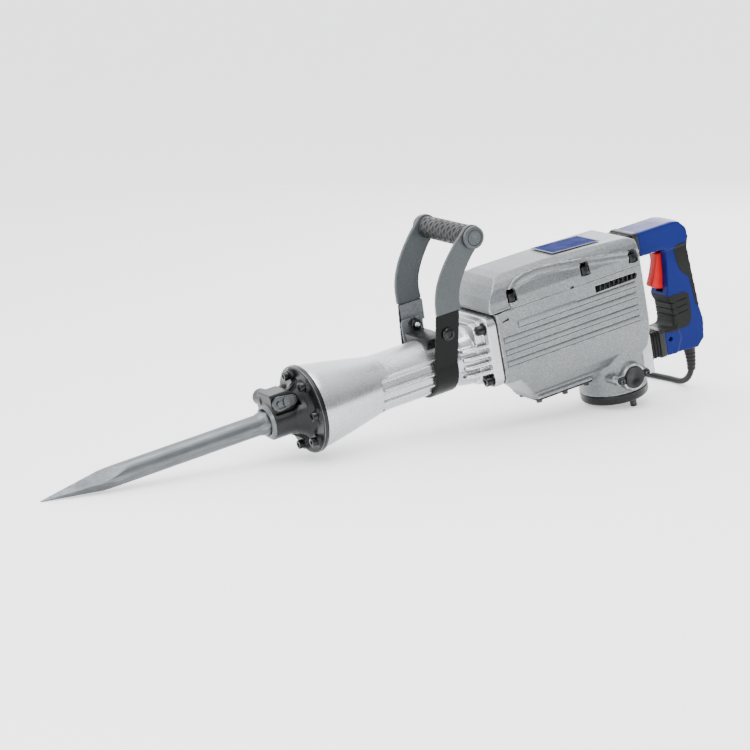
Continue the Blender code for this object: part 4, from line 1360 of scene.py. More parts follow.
@dataclass
class Chisel(SubAssembly):
    """The bull point chisel with its forged hexagon shank.

    Attributes:
        body: It slides in the tool holder.
        radius: The bar's radius.
        tip: Where the point ends.
        shoulder: Where the point's flats run out into the bar.
    """

    body: str = "chisel"
    radius: float = 0.014
    tip: float = -0.384
    shoulder: float = -0.262

    def build(self) -> None:
        """Builds the bar, its drawn point, its collar and its shank as one forging."""
        profile = [(0, 0), (self.radius, 0), (self.radius, 0.314), (0, 0.314)]
        bar = turned("chisel_forging", profile, (-0.07, 0, 0), (-1, 0, 0), 72)
        slope = self.radius / (self.shoulder - self.tip)
        base = slope * (0.06 - self.tip) * math.sqrt(2)
        cone = [(0, 0), (0.0008, 0), (base, 0.06 - self.tip), (0, 0.06 - self.tip)]
        point = turned("point", cone, (self.tip, 0, 0), (1, 0, 0), 4)
        cast(bar, 0.0012, 0)
        trimmed(bar, point)
        profile = [(0, 0), (0.0138, 0), (0.0176, 0.013), (0.0176, 0.014), (0, 0.014)]
        flare = turned("flare", profile, (-0.0755, 0, 0), (1, 0, 0), 72)
        corner = hexagon_corner(0.015)
        profile = [(0, -0.02), (corner * 1.04, -0.02), (corner * 1.04, 0.04), (0, 0.04)]
        trimmed(flare, turned("across", profile, (-0.0755, 0, 0), (1, 0, 0), 6))
        profile = [(0, 0), (corner, 0), (corner, 0.088), (0.0155, 0.0905), (0, 0.0905)]
        shank = turned("shank", profile, (-0.0645, 0, 0), (1, 0, 0), 6)
        joined(bar, rounded(flare, 0.0004, 2), shank)
        carved(bar, block("notch", (-0.058, -0.02, 0.0115), (-0.014, 0.02, 0.03)))
        self.fit(bar, CHISEL_STEEL, "steel", "chisel", angle=22)


@dataclass
class ToolHolder(SubAssembly):
    """The black cast nose that holds the chisel, with its ring of screws.

    Attributes:
        flange: The flange's radius.
        bolt_circle: The radius that the screws stand on.
        lever: Where the stop lever's pin runs.
    """

    flange: float = 0.06
    bolt_circle: float = 0.0485
    lever: Point2 = (-0.047, 0.025)

    def screw_turns(self) -> list[float]:
        """The angles of the seven screws, from across the tool towards its top."""
        return [math.radians(74 + 360 * step / 7) for step in range(7)]

    def build_body(self) -> None:
        """The casting: a lobed flange, a waisted hub and the block for the lever."""
        profile = [(0, 0), (0.059, 0), (0.059, -0.0062), (0.058, -0.007), (0, -0.007)]
        disc = turned("holder_casting", profile, (-0.0002, 0, 0), (1, 0, 0), 96)
        profile = [
            (0, -0.004), (0.044, -0.004), (0.04, -0.009), (0.0345, -0.013), (0.03, -0.02),
            (0.0262, -0.028), (0.0255, -0.036), (0.0255, -0.058), (0, -0.058),
        ]
        hub = turned("hub", profile, (0, 0, 0), (1, 0, 0), 96)
        lobes = []
        for turn in self.screw_turns():
            spot = (self.bolt_circle * math.cos(turn), self.bolt_circle * math.sin(turn))
            lobes.append(rod("lobe", (-0.003, *spot), (-0.0102, *spot), 0.0092, 0.0084, 28))
            web = block("web", (-0.0095, 0.02, -0.003), (-0.003, 0.05, 0.003))
            web.matrix_world = Matrix.Rotation(turn, 4, "X")
            lobes.append(web)
        outline = [
            (-0.025, -0.004), (0.025, -0.004), (0.024, 0.026), (0.0165, 0.038), (-0.0165, 0.038),
            (-0.024, 0.026),
        ]
        crown = prism("lever block", outline, Plane.YZ, -0.0575, -0.02)
        outline = [(-0.0575, 0.033), (-0.03, 0.033), (-0.01, 0.018), (-0.01, 0.06), (-0.0575, 0.06)]
        slope = prism("crown slope", outline, Plane.XZ, -0.04, 0.04)
        slope.location = (0, 0, 0.005)
        carved(crown, slope)
        x, z = self.lever
        boss = rod("far boss", (x, 0.01, z), (x, 0.0345, z), 0.0125, 0.0112, 32)
        outline = [(-0.03, 0.0), (-0.005, 0.0), (-0.005, 0.044), (-0.012, 0.04), (-0.03, 0.029)]
        gusset = prism("gusset", outline, Plane.XZ, -0.0035, 0.0035)
        outline = [(-0.032, 0.0), (-0.005, 0.0), (-0.005, -0.042), (-0.011, -0.04), (-0.032, -0.0255)]
        low_gusset = prism("low gusset", outline, Plane.XZ, -0.0035, 0.0035)
        joined(disc, hub, *lobes, crown, boss, gusset, low_gusset)
        cast(disc, 0.00085, 3)
        pocket = rounded_rectangle((x - 0.012, z - 0.014), (x + 0.0245, z + 0.01), 0.007)
        corner = hexagon_corner(0.0153)
        profile = [(0, -0.08), (corner, -0.08), (corner, 0.01), (0, 0.01)]
        bore = turned("hex bore", profile, (0, 0, 0), (1, 0, 0), 6)
        mouth = rod("mouth", (-0.06, 0, 0), (-0.0525, 0, 0), 0.024, 0.022, 48)
        pin = rod("pin bore", (x, -0.05, z), (x, 0.018, z), 0.0098)
        tail = rod("tail bore", (x, 0, z), (x, 0.05, z), 0.0078)
        slot = block("side slot", (-0.026, -0.04, 0.016), (-0.018, -0.015, 0.0235))
        pocket = prism("lever pocket", pocket, Plane.XZ, -0.04, -0.0186)
        carved(disc, pocket, bore, mouth, pin, tail, slot)
        self.fit(disc, BLACK_CAST, "black_cast", "tool_holder", angle=40)

    def build_rings(self) -> None:
        """The machined seam and the dark band behind it."""
        band = sleeve("holder_rear_band", (-0.0002, 0, 0), (-0.0058, 0, 0), 0.06, 0.056, 128)
        self.fit(rounded(band, 0.0005, 2), BLACK_CAST, "black_cast")
        seam = sleeve("holder_bright_seam", (-0.0059, 0, 0), (-0.0063, 0, 0), 0.0598, 0.056, 128)
        self.fit(seam, CHISEL_STEEL, "steel")
        profile = [
            (0.0183, 0.0545), (0.0228, 0.0545), (0.0236, 0.058), (0.023, 0.0592), (0.0212, 0.0622),
            (0.02, 0.0626), (0.0183, 0.0622),
        ]
        mouth = turned("mouth_ring", profile, (0, 0, 0), (-1, 0, 0), 96)
        self.fit(mouth, CHISEL_STEEL, "steel", angle=25)

    def build_lever(self) -> None:
        """The stop lever: a knob with a raised pad on a pin with a cam flat."""
        x, z = self.lever
        outline = arc((x, z), 0.01, 90, 270, 20) + arc((x + 0.019, z), 0.0074, -90, 90, 16)
        arm = rounded(prism("stop_lever_arm", outline, Plane.XZ, -0.0228, -0.019), 0.0008, 3)
        inner = arc((x, z), 0.0068, 90, 270, 20) + arc((x + 0.007, z), 0.0062, -90, 90, 16)
        carved(arm, prism("lever dish", inner, Plane.XZ, -0.03, -0.0212))
        outline = rounded_rectangle((x + 0.006, z - 0.0054), (x + 0.017, z + 0.0054), 0.0025)
        pad = rounded(prism("lever pad", outline, Plane.XZ, -0.024, -0.02), 0.0007, 3)
        boss = rod("lever boss", (x, -0.0235, z), (x, -0.02, z), 0.0036, sides=32)
        pin = rod("lever pin", (x, -0.0205, z), (x, 0.0177, z), 0.0095, sides=64)
        tail = rod("lever tail", (x, 0.01, z), (x, 0.0318, z), 0.0075, 0.0066, 48)
        carved(pin, block("cam flat", (x - 0.02, -0.016, z + 0.0045), (x + 0.02, 0.016, z + 0.02)))
        joined(arm, pad, boss, pin, tail)
        self.fit(arm, SOCKET_GREY, "steel", "stop_lever", body="stop_lever", angle=30)

    def build(self) -> None:
        """Builds the holder, its lever and its screws."""
        self.build_body()
        self.build_rings()
        self.build_lever()
        screw = CapScrew(0.006, 0.0082, 0.0012)
        for step, turn in enumerate(self.screw_turns()):
            seat = (-0.01, self.bolt_circle * math.cos(turn), self.bolt_circle * math.sin(turn))
            self.fit_screw(screw, f"holder_screw_{step + 1}", seat, (-1, 0, 0))


@dataclass
class CylinderCase(SubAssembly):
    """The silver cast barrel between the holder and the crank case.

    Attributes:
        barrel: The barrel's radius where the side handle clamps.
        half_width: Half the rear flange's width.
        seam: Where the rear flange ends.
    """

    barrel: float = 0.0385
    half_width: float = 0.055
    seam: float = 0.275

    def outside(self) -> list[Point2]:
        """(radius, x) pairs of the barrel's outside from front to back.

        Returns:
            The pairs.
        """
        given = [
            (0.057, 0.0003), (0.0566, 0.01), (0.0545, 0.024), (0.051, 0.044), (0.0462, 0.068), (0.0415, 0.092),
            (0.0392, 0.106), (0.0385, 0.122), (0.0385, 0.215), (0.04, 0.224), (0.043, 0.238), (0.045, 0.264),
        ]
        line = line_through([(x, 0, radius) for radius, x in given], 0.003)
        return [(point.z, point.x) for point in line]

    def build(self) -> None:
        """Builds the casting with its flats, ridges, fins and flange."""
        outer = self.outside()
        case = turned("cylinder_casting", [(0, 0.0003), *outer, (0, outer[-1][1])], (0, 0, 0), (1, 0, 0), 128)
        flats = []
        for side in (-1, 1):
            for middle, half in ((0.0062, 0.0072), (-0.0102, 0.0062), (-0.0262, 0.0075)):
                lean = math.asin(middle / self.barrel)
                flat = block("flat", (0.096, 0.0363, -half), (0.192, 0.045, half))
                flat.matrix_world = Matrix.Rotation(lean if side > 0 else math.pi - lean, 4, "X")
                flats.append(flat)
        carved(case, *flats)
        ridges = []
        for side in (-1, 1):
            for height in (0.0148, -0.0022, -0.018):
                y = side * (math.sqrt(self.barrel**2 - height**2) - 0.0001)
                ridges.append(rod("ridge", (0.09, y, height), (0.1905, y, height), 0.0015, sides=16))
            outline = [
                (0.22, 0.03), (0.258, 0.03), (0.258, 0.0525), (0.25, 0.0515), (0.23, 0.0475),
                (0.2225, 0.042),
            ]
            for height in (-0.0205, -0.0085, 0.0035, 0.0155):
                fin = prism("fin", outline, Plane.XY, height - 0.0026, height + 0.0026)
                fin.scale = (1, side, 1)
                ridges.append(applied_scale(fin))
        outline = rounded_rectangle((-self.half_width, -0.046), (self.half_width, 0.054), 0.014, 8)
        flange = rounded(prism("flange", outline, Plane.YZ, 0.258, 0.2738), 0.0022, 3)
        outline = rounded_rectangle((-0.044, -0.04), (0.044, 0.047), 0.016, 8)
        neck = prism("neck", outline, Plane.YZ, 0.244, 0.26)
        joined(case, neck, flange, *ridges)
        cast(case, 0.00115, 3)
        bore = rod("bore", (-0.01, 0, 0), (0.3, 0, 0), 0.0256, sides=48)
        mouth = rod("mouth", (-0.01, 0, 0), (0.06, 0, 0), 0.034, sides=48)
        carved(case, bore, mouth)
        # The barrel's lighter silver is partly painted highlight.
        self.fit(case, SMOOTH_LIT_BARREL_SILVER, "cast_silver", "cylinder_case", angle=50)
        outline = rounded_rectangle((-0.0542, -0.0452), (0.0542, 0.0532), 0.0135, 8)
        gasket = prism("case_gasket", outline, Plane.YZ, 0.2737, 0.2752)
        carved(gasket, rod("gasket bore", (0.27, 0, 0), (0.28, 0, 0), 0.03))
        self.fit(gasket, BLACK_PLASTIC, "black_plastic")
        screw = CapScrew(0.0067, 0.0112, 0.0012)
        corners = [(y, z) for y in (-0.0465, 0.0465) for z in (0.0385, -0.034)]
        for number, (y, z) in enumerate(corners):
            self.fit_screw(screw, f"case_screw_{number + 1}", (0.2578, y, z), (-1, 0, 0))


# ---------------------------------------------------------------- the housing


ARCH: tuple[Point2, ...] = (
    (0.3, 0.056), (0.302, 0.079), (0.31, 0.0875), (0.328, 0.093), (0.361, 0.0945),
    (0.41, 0.0905), (0.459, 0.084), (0.501, 0.0775), (0.5185, 0.075),
)


@dataclass
class Housing(SubAssembly):
    """The silver crank and motor case with its cover, plates and brush caps.

    Attributes:
        half_width: Half its width.
        motor_x: Where the upright motor stands.
        motor_radius: The motor case's radius.
        brush_z: The brushes' height.
        wells: Where the cover screws stand, on both sides.
        ear: How far a brush cap's ears lie from its middle.
        strip_end: Where the side strips end.
    """

    half_width: float = 0.055
    motor_x: float = 0.478
    motor_radius: float = 0.048
    brush_z: float = -0.0975
    wells: tuple[Point2, ...] = ((0.305, 0.064), (0.4265, 0.066), (0.5065, 0.0615))
    ear: float = 0.0213
    strip_end: float = 0.503

    def section(self, inset: float = 0.0) -> list[Point2]:
        """Half of the cross-section from the top down, as (half width, height)."""
        w = self.half_width
        return [
            (0.032 - inset * 0.5, 0.101 - inset),
            (0.0455 - inset, 0.093 - inset * 0.8),
            (0.0515 - inset, 0.086 - inset * 0.6),
            (w - inset, 0.07),
            (w - inset, -0.025),
            (0.052 - inset, -0.045),
            (0.047 - inset, -0.062),
            (0.04 - inset, -0.074 + inset * 0.5),
            (0.031 - inset, -0.079 + inset),
            (0.03 - inset, -0.089 - inset * 4),
        ]

    def width_at(self, height: float) -> float:
        """Half the housing's width at a height.

        Args:
            height: The height.

        Returns:
            Half the width.
        """
        line = self.section()
        for (w0, z0), (w1, z1) in zip(line, line[1:]):
            if z1 <= height <= z0:
                return w1 + (w0 - w1) * (height - z1) / (z0 - z1)
        return line[0][0] if height > line[0][1] else line[-1][0]

    def run_of(self, name: str, inset: float, low: float, high: float) -> Piece:
        """The cross-section carried from one x to another."""
        half = self.section(inset)
        return prism(name, half + [(-w, z) for w, z in reversed(half)], Plane.YZ, low, high)

    def screw_wells(self) -> list[Piece]:
        """The cutters of the notches that the cover screws stand in.

        Returns:
            The cutters.
        """
        cutters = []
        for x, z in self.wells:
            for side in (-1, 1):
                y = side * 0.0503
                cutters.append(rod("well", (x, y, z), (x, y, z + 0.0185), 0.0082, 0.0066, 32))
                outline = [(x - 0.0082, z), (x + 0.0082, z), (x + 0.0074, z + 0.0165), (x - 0.0074, z + 0.0165)]
                low, high = sorted((side * 0.05, side * 0.065))
                cutters.append(prism("mouth", outline, Plane.XZ, low, high))
        return cutters

    def beads(self, side: int) -> list[Piece]:
        """The raised beads that follow the arch on one side, and the one under the hood.

        Args:
            side: -1 or 1, the side of the tool.

        Returns:
            The beads.
        """
        beads = []
        for drop, radius in ((0.0002, 0.002), (0.0072, 0.0014)):
            line = [(x, side * (self.width_at(z - drop) + 0.0001), z - drop) for x, z in ARCH[1:]]
            line.insert(0, (0.3015, side * (self.width_at(0.06) + 0.0001), 0.06))
            beads.append(swept("bead", line_through(line, 0.004), lambda share, r=radius: round_section(r, 10)))
        hood = [(0.2765, 0.05), (0.283, 0.053), (0.293, 0.0545), (0.303, 0.0535)]
        line = line_through([(x, side * 0.0549, z) for x, z in hood], 0.004)
        beads.append(swept("hood bead", line, lambda share: round_section(0.0016, 10)))
        return beads

    def build_case(self) -> None:
        """The crank case with the motor case under it, its beads, strips, grooves and vents."""
        case = self.run_of("housing_casting", 0.0, 0.2753, 0.518)
        outline = [
            (0.2745, -0.046), (0.3, -0.046), (0.333, -0.089), (0.429, -0.089), (0.46, -0.079),
            (0.506, -0.077), (0.515, -0.064), (0.519, -0.03), (0.519, 0.012), (0.5175, 0.014),
            *reversed(ARCH), (0.2745, 0.054),
        ]
        trimmed(case, prism("side shape", outline, Plane.XZ, -0.07, 0.07))
        x, low, radius = self.motor_x, -0.121, self.motor_radius
        parts = [
            rod("motor case", (x, 0, -0.06), (x, 0, low), radius, sides=96),
            rod("motor rim", (x, 0, -0.117), (x, 0, low), radius + 0.0006, sides=96),
        ]
        for side in (-1, 1):
            for shift, radius in ((0.0, 0.019), (-self.ear, 0.007), (self.ear, 0.007)):
                x, z = self.motor_x + shift, self.brush_z
                parts.append(rod("brush boss", (x, side * 0.03, z), (x, side * 0.0545, z), radius, sides=40))
            x, z = 0.45, -0.0935
            parts.append(rod("small boss", (x, side * 0.036, z), (x, side * 0.052, z), 0.0065, 0.0052, 24))
            parts += self.beads(side)
        outline = rounded_rectangle((0.33, -0.0325), (0.43, 0.0325), 0.008)
        joined(case, *parts, prism("pan foot", outline, Plane.XY, -0.0892, -0.085))
        cast(case, 0.00125, 4)
        cavity = self.run_of("works space", 0.0045, 0.28, 0.5135)
        inner = [
            (0.2805, -0.041), (0.3025, -0.041), (0.3355, -0.084), (0.348, -0.084), (0.348, -0.1),
            (0.415, -0.1), (0.415, -0.084), (0.428, -0.084), (0.459, -0.074), (0.503, -0.0725),
            (0.5105, -0.062), (0.514, -0.03), (0.514, 0.12), (0.2805, 0.12),
        ]
        trimmed(cavity, prism("space side", inner, Plane.XZ, -0.06, 0.06))
        motor_bore = rod("motor bore", (self.motor_x, 0, -0.05), (self.motor_x, 0, -0.13), 0.044, sides=72)
        liner = rod("liner hole", (0.27, 0, 0), (0.29, 0, 0), 0.025)
        x, z = self.motor_x, self.brush_z
        tunnels = [rod("tunnel", (x, side * 0.02, z), (x, side * 0.07, z), 0.011) for side in (-1, 1)]
        carved(case, cavity, motor_bore, liner, *tunnels, *self.screw_wells())
        carved(case, *self.groove_cutters(), *self.vent_cutters())
        self.fit(case, CAST_SILVER, "cast_silver", "main_housing", angle=42)

    def groove_cutters(self) -> list[Piece]:
        """Fine grooves that frame the side strips, and the line above them.

        Returns:
            The cutters.
        """
        cutters = []
        half_groove, end = 0.0006, self.strip_end
        for side in (-1, 1):
            low, high = sorted((side * (self.half_width - 0.0007), side * (self.half_width + 0.01)))
            lines = [((0.306, 0.0555), (0.514, 0.0555))]
            for top, bottom, start in self.strips():
                lines += [((start, top), (end, top)), ((start, bottom), (end, bottom))]
                lines += [((start, top), (start, bottom))]
            for (x0, z0), (x1, z1) in lines:
                near = (x0 - half_groove, low, min(z0, z1) - half_groove)
                cutters.append(block("groove", near, (x1 + half_groove, high, max(z0, z1) + half_groove)))
            low, high = sorted((side * (self.half_width - 0.003), side * (self.half_width + 0.01)))
            pocket = [(0.2835, 0.0425), (0.2945, 0.045), (0.2945, 0.0415), (0.2835, 0.0405)]
            cutters.append(prism("pocket", pocket, Plane.XZ, low, high))
            oval = rounded_rectangle((0.3975, 0.0545), (0.4045, 0.058), 0.0017)
            cutters.append(prism("oval", oval, Plane.XZ, low, high))
        return cutters

    def strips(self) -> tuple[tuple[float, float, float], ...]:
        """The side strips as (top, bottom, front end)."""
        return (
            (0.035, 0.027, 0.307), (0.0196, 0.0116, 0.281), (0.002, -0.0056, 0.281), (-0.014, -0.0217, 0.281),
        )

    def vent_cutters(self) -> list[Piece]:
        """The long slot at each side of the fan, pointed at its rear."""
        outline = [(0.4375, 0.0375), (0.4375, 0.0472), (0.506, 0.0472), (0.5095, 0.044), (0.506, 0.0385)]
        return [prism("vent", outline, Plane.XZ, -0.07, 0.07)]

    def build_vent_bars(self) -> None:
        """The slanted bars that stand back in the slots."""
        for side, hand in SIDES:
            low, high = sorted((side * (self.half_width - 0.0045), side * (self.half_width - 0.0016)))
            bars = block(f"{hand}_vent_bars", (0.437, low, 0.0368), (0.508, high, 0.0378))
            for slot in range(8):
                x = 0.4455 + slot * 0.0077
                outline = [(x, 0.037), (x + 0.0014, 0.037), (x + 0.0032, 0.0478), (x + 0.0018, 0.0478)]
                joined(bars, prism("bar", outline, Plane.XZ, low, high))
            self.fit(bars, BLACK_PLASTIC, "black_plastic")

    def build_strips(self) -> None:
        """The raised strips between the grooves."""
        inset, step_up = 0.0008, 0.0022
        end = self.strip_end - inset
        for number, (top, bottom, start) in enumerate(self.strips()):
            for side, hand in SIDES:
                outline = [(start + inset, bottom + inset), (end, bottom + inset), (end, top - inset)]
                if number == 0:
                    outline += [(0.406, top - inset), (0.404, top + step_up), (start + inset, top + step_up)]
                else:
                    outline += [(start + inset, top - inset)]
                low, high = sorted((side * (self.half_width - 0.0015), side * (self.half_width + 0.0011)))
                strip = rounded(prism(f"{hand}_strip_{number + 1}", outline, Plane.XZ, low, high), 0.0007, 3)
                self.fit(strip, STRIP_SILVER, "cast_silver")

    def build_cover(self) -> None:
        """The gear cover with its hood, sloping shoulders and screw wells."""
        cover = self.run_of("cover_casting", 0.0, 0.262, 0.5185)
        profile = [
            (0.266, 0.062), (0.268, 0.0563), (0.2997, 0.0563),
            *[(x - 0.0003 if z < 0.08 and x < 0.31 else x, z + 0.0006) for x, z in ARCH[1:]],
            (0.519, 0.09), (0.51, 0.095), (0.445, 0.0985), (0.396, 0.1005), (0.347, 0.102),
            (0.314, 0.102), (0.292, 0.0985), (0.28, 0.09), (0.27, 0.076),
        ]
        trimmed(cover, prism("cover side", profile, Plane.XZ, -0.07, 0.07))
        parts = []
        for side in (-1, 1):
            edge = ((0.268, 0.054, 0.0575), (0.285, 0.0543, 0.0577), (0.299, 0.0543, 0.059))
            line = line_through([(x, side * y, z) for x, y, z in edge], 0.003)
            parts.append(swept("hood edge", line, lambda share: round_section(0.0015, 10)))
        joined(cover, *parts)
        cast(cover, 0.00115, 4)
        hollow = self.run_of("cover space", 0.0045, 0.274, 0.5135)
        inner = [
            (0.274, 0.04), (0.514, 0.04), (0.514, 0.087), (0.505, 0.0905), (0.445, 0.0935), (0.396, 0.0955),
            (0.347, 0.0965), (0.314, 0.0965), (0.295, 0.094), (0.284, 0.086), (0.275, 0.072),
        ]
        trimmed(hollow, prism("space profile", inner, Plane.XZ, -0.06, 0.06))
        carved(cover, hollow, *self.screw_wells())
        self.fit(cover, CAST_SILVER, "cast_silver", "gear_cover", angle=42)

    def build_screws(self) -> None:
        """The screws of the cover and of the plate under the crank case, and their seats."""
        screw = CapScrew(0.006, 0.0112, 0.001)
        count = 0
        for x, z in self.wells:
            for side, hand in SIDES:
                count += 1
                self.fit_screw(screw, f"cover_screw_{count}", (x, side * 0.0503, z + 0.0002), (0, 0, 1))
                low, high = sorted((side * 0.042, side * 0.0535))
                post = block(f"{hand}_well_post_{count}", (x - 0.009, low, z - 0.011), (x + 0.009, high, z))
                self.fit(rounded(post, 0.0008, 2), CAST_SILVER, "cast_silver")
        low_screw = CapScrew(0.0042, 0.0048)
        rows = ((0.3405, 0.0215), (0.42, 0.0215), (0.382, 0.0245))
        spots = [(x, side * y) for x, y in rows for side in (-1, 1)]
        for number, (x, y) in enumerate(spots):
            self.fit_screw(low_screw, f"plate_screw_{number + 1}", (x, y, -0.0924), (0, 0, -1))

    def build_underside(self) -> None:
        """The grease plate, the motor cover and its screws."""
        outline = rounded_rectangle((0.333, -0.03), (0.4285, 0.03), 0.006)
        plate = prism("grease_plate", outline, Plane.XY, -0.0925, -0.0893)
        self.fit(rounded(plate, 0.0008, 2), BLACK_CAST, "black_cast", "bottom_plate")
        profile = [
            (0.0478, -0.1213), (0.0486, -0.1222), (0.0486, -0.13), (0.0478, -0.1325), (0.0462, -0.134),
            (0.038, -0.134), (0.037, -0.133), (0.018, -0.133), (0.017, -0.134), (0.003, -0.134),
            (0.003, -0.129), (0.0063, -0.129), (0.0063, -0.119), (0.0165, -0.119), (0.0165, -0.1285),
            (0.04, -0.1285), (0.04, -0.1213),
        ]
        cover = turned("motor_end_cover", profile, (self.motor_x, 0, 0), (0, 0, 1), 96)
        seats = {hand: (0.484, side * 0.035, -0.1345) for side, hand in SIDES}
        pads = [rod("pad", seat, (*seat[:2], -0.13), 0.0078, sides=32) for seat in seats.values()]
        joined(cover, *pads)
        self.fit(cover, BLACK_CAST, "black_cast", "motor_cover", angle=40)
        screw = CapScrew(0.005, 0.0115)
        for hand, seat in seats.items():
            self.fit_screw(screw, f"motor_screw_{hand}", seat, (0, 0, -1), f"motor_cover_bolt_{hand}")

    def build_brush_caps(self) -> None:
        """The round caps over the brushes, each with two ears and a silver ring."""
        x, z = self.motor_x, self.brush_z
        disc = [
            (0, 0), (0.0154, 0), (0.0154, 0.0042), (0.0146, 0.0052), (0.006, 0.0052), (0.0052, 0.0046),
            (0, 0.0046),
        ]
        ears = [x + ear * self.ear for ear in (-1, 1)]
        for side, hand in SIDES:
            cap = turned(f"{hand}_brush_cover", disc, (x, side * 0.0546, z), (0, side, 0), 64)
            low, high = sorted((side * 0.0546, side * 0.0574))
            for ear, inner in zip(ears, (x - 0.01, x + 0.01)):
                lug = rod("ear", (ear, side * 0.0546, z), (ear, side * 0.0576, z), 0.0058, 0.0054, 32)
                x0, x1 = sorted((inner, ear))
                joined(cap, lug, block("bridge", (x0, low, z - 0.0048), (x1, high, z + 0.0048)))
            self.fit(cap, BLACK_PLASTIC, "black_plastic", f"{hand}_brush_cap", angle=40)
            start, end = (x, side * 0.0544, z), (x, side * 0.0562, z)
            lip = sleeve(f"{hand}_brush_ring", start, end, 0.0186, 0.016, 64)
            for middle in (x - 0.019, x + 0.019):
                near, far = (middle - 0.0065, -0.07, z - 0.0062), (middle + 0.0065, 0.07, z + 0.0062)
                carved(lip, block("ring slot", near, far))
            self.fit(lip, CAST_SILVER, "cast_silver")
            for number, ear in enumerate(ears):
                name = f"{hand}_brush_screw_{number + 1}"
                self.fit_screw(CapScrew(0.0038, 0.0022), name, (ear, side * 0.0574, z), (0, side, 0))

    def build_bracket(self) -> None:
        """The pale bracket that carries the lower end of the rear handle."""
        bracket = block("handle_bracket", (0.5186, -0.0215, -0.115), (0.538, 0.0215, -0.059))
        foot = block("bracket foot", (0.515, -0.02, -0.11), (0.52, 0.02, -0.065))
        joined(bracket, foot)
        rounded(bracket, 0.003, 4)
        carved(bracket, rod("motor seat", (self.motor_x, 0, -0.2), (self.motor_x, 0, 0), 0.0484, sides=96))
        self.fit(bracket, BRACKET_GREY, "bracket_grey", "rear_bracket")

    def build(self) -> None:
        """Builds the housing and everything screwed to it."""
        self.build_case()
        self.build_strips()
        self.build_vent_bars()
        self.build_cover()
        self.build_screws()
        self.build_underside()
        self.build_brush_caps()
        self.build_bracket()


# ---------------------------------------------------------------- the handles


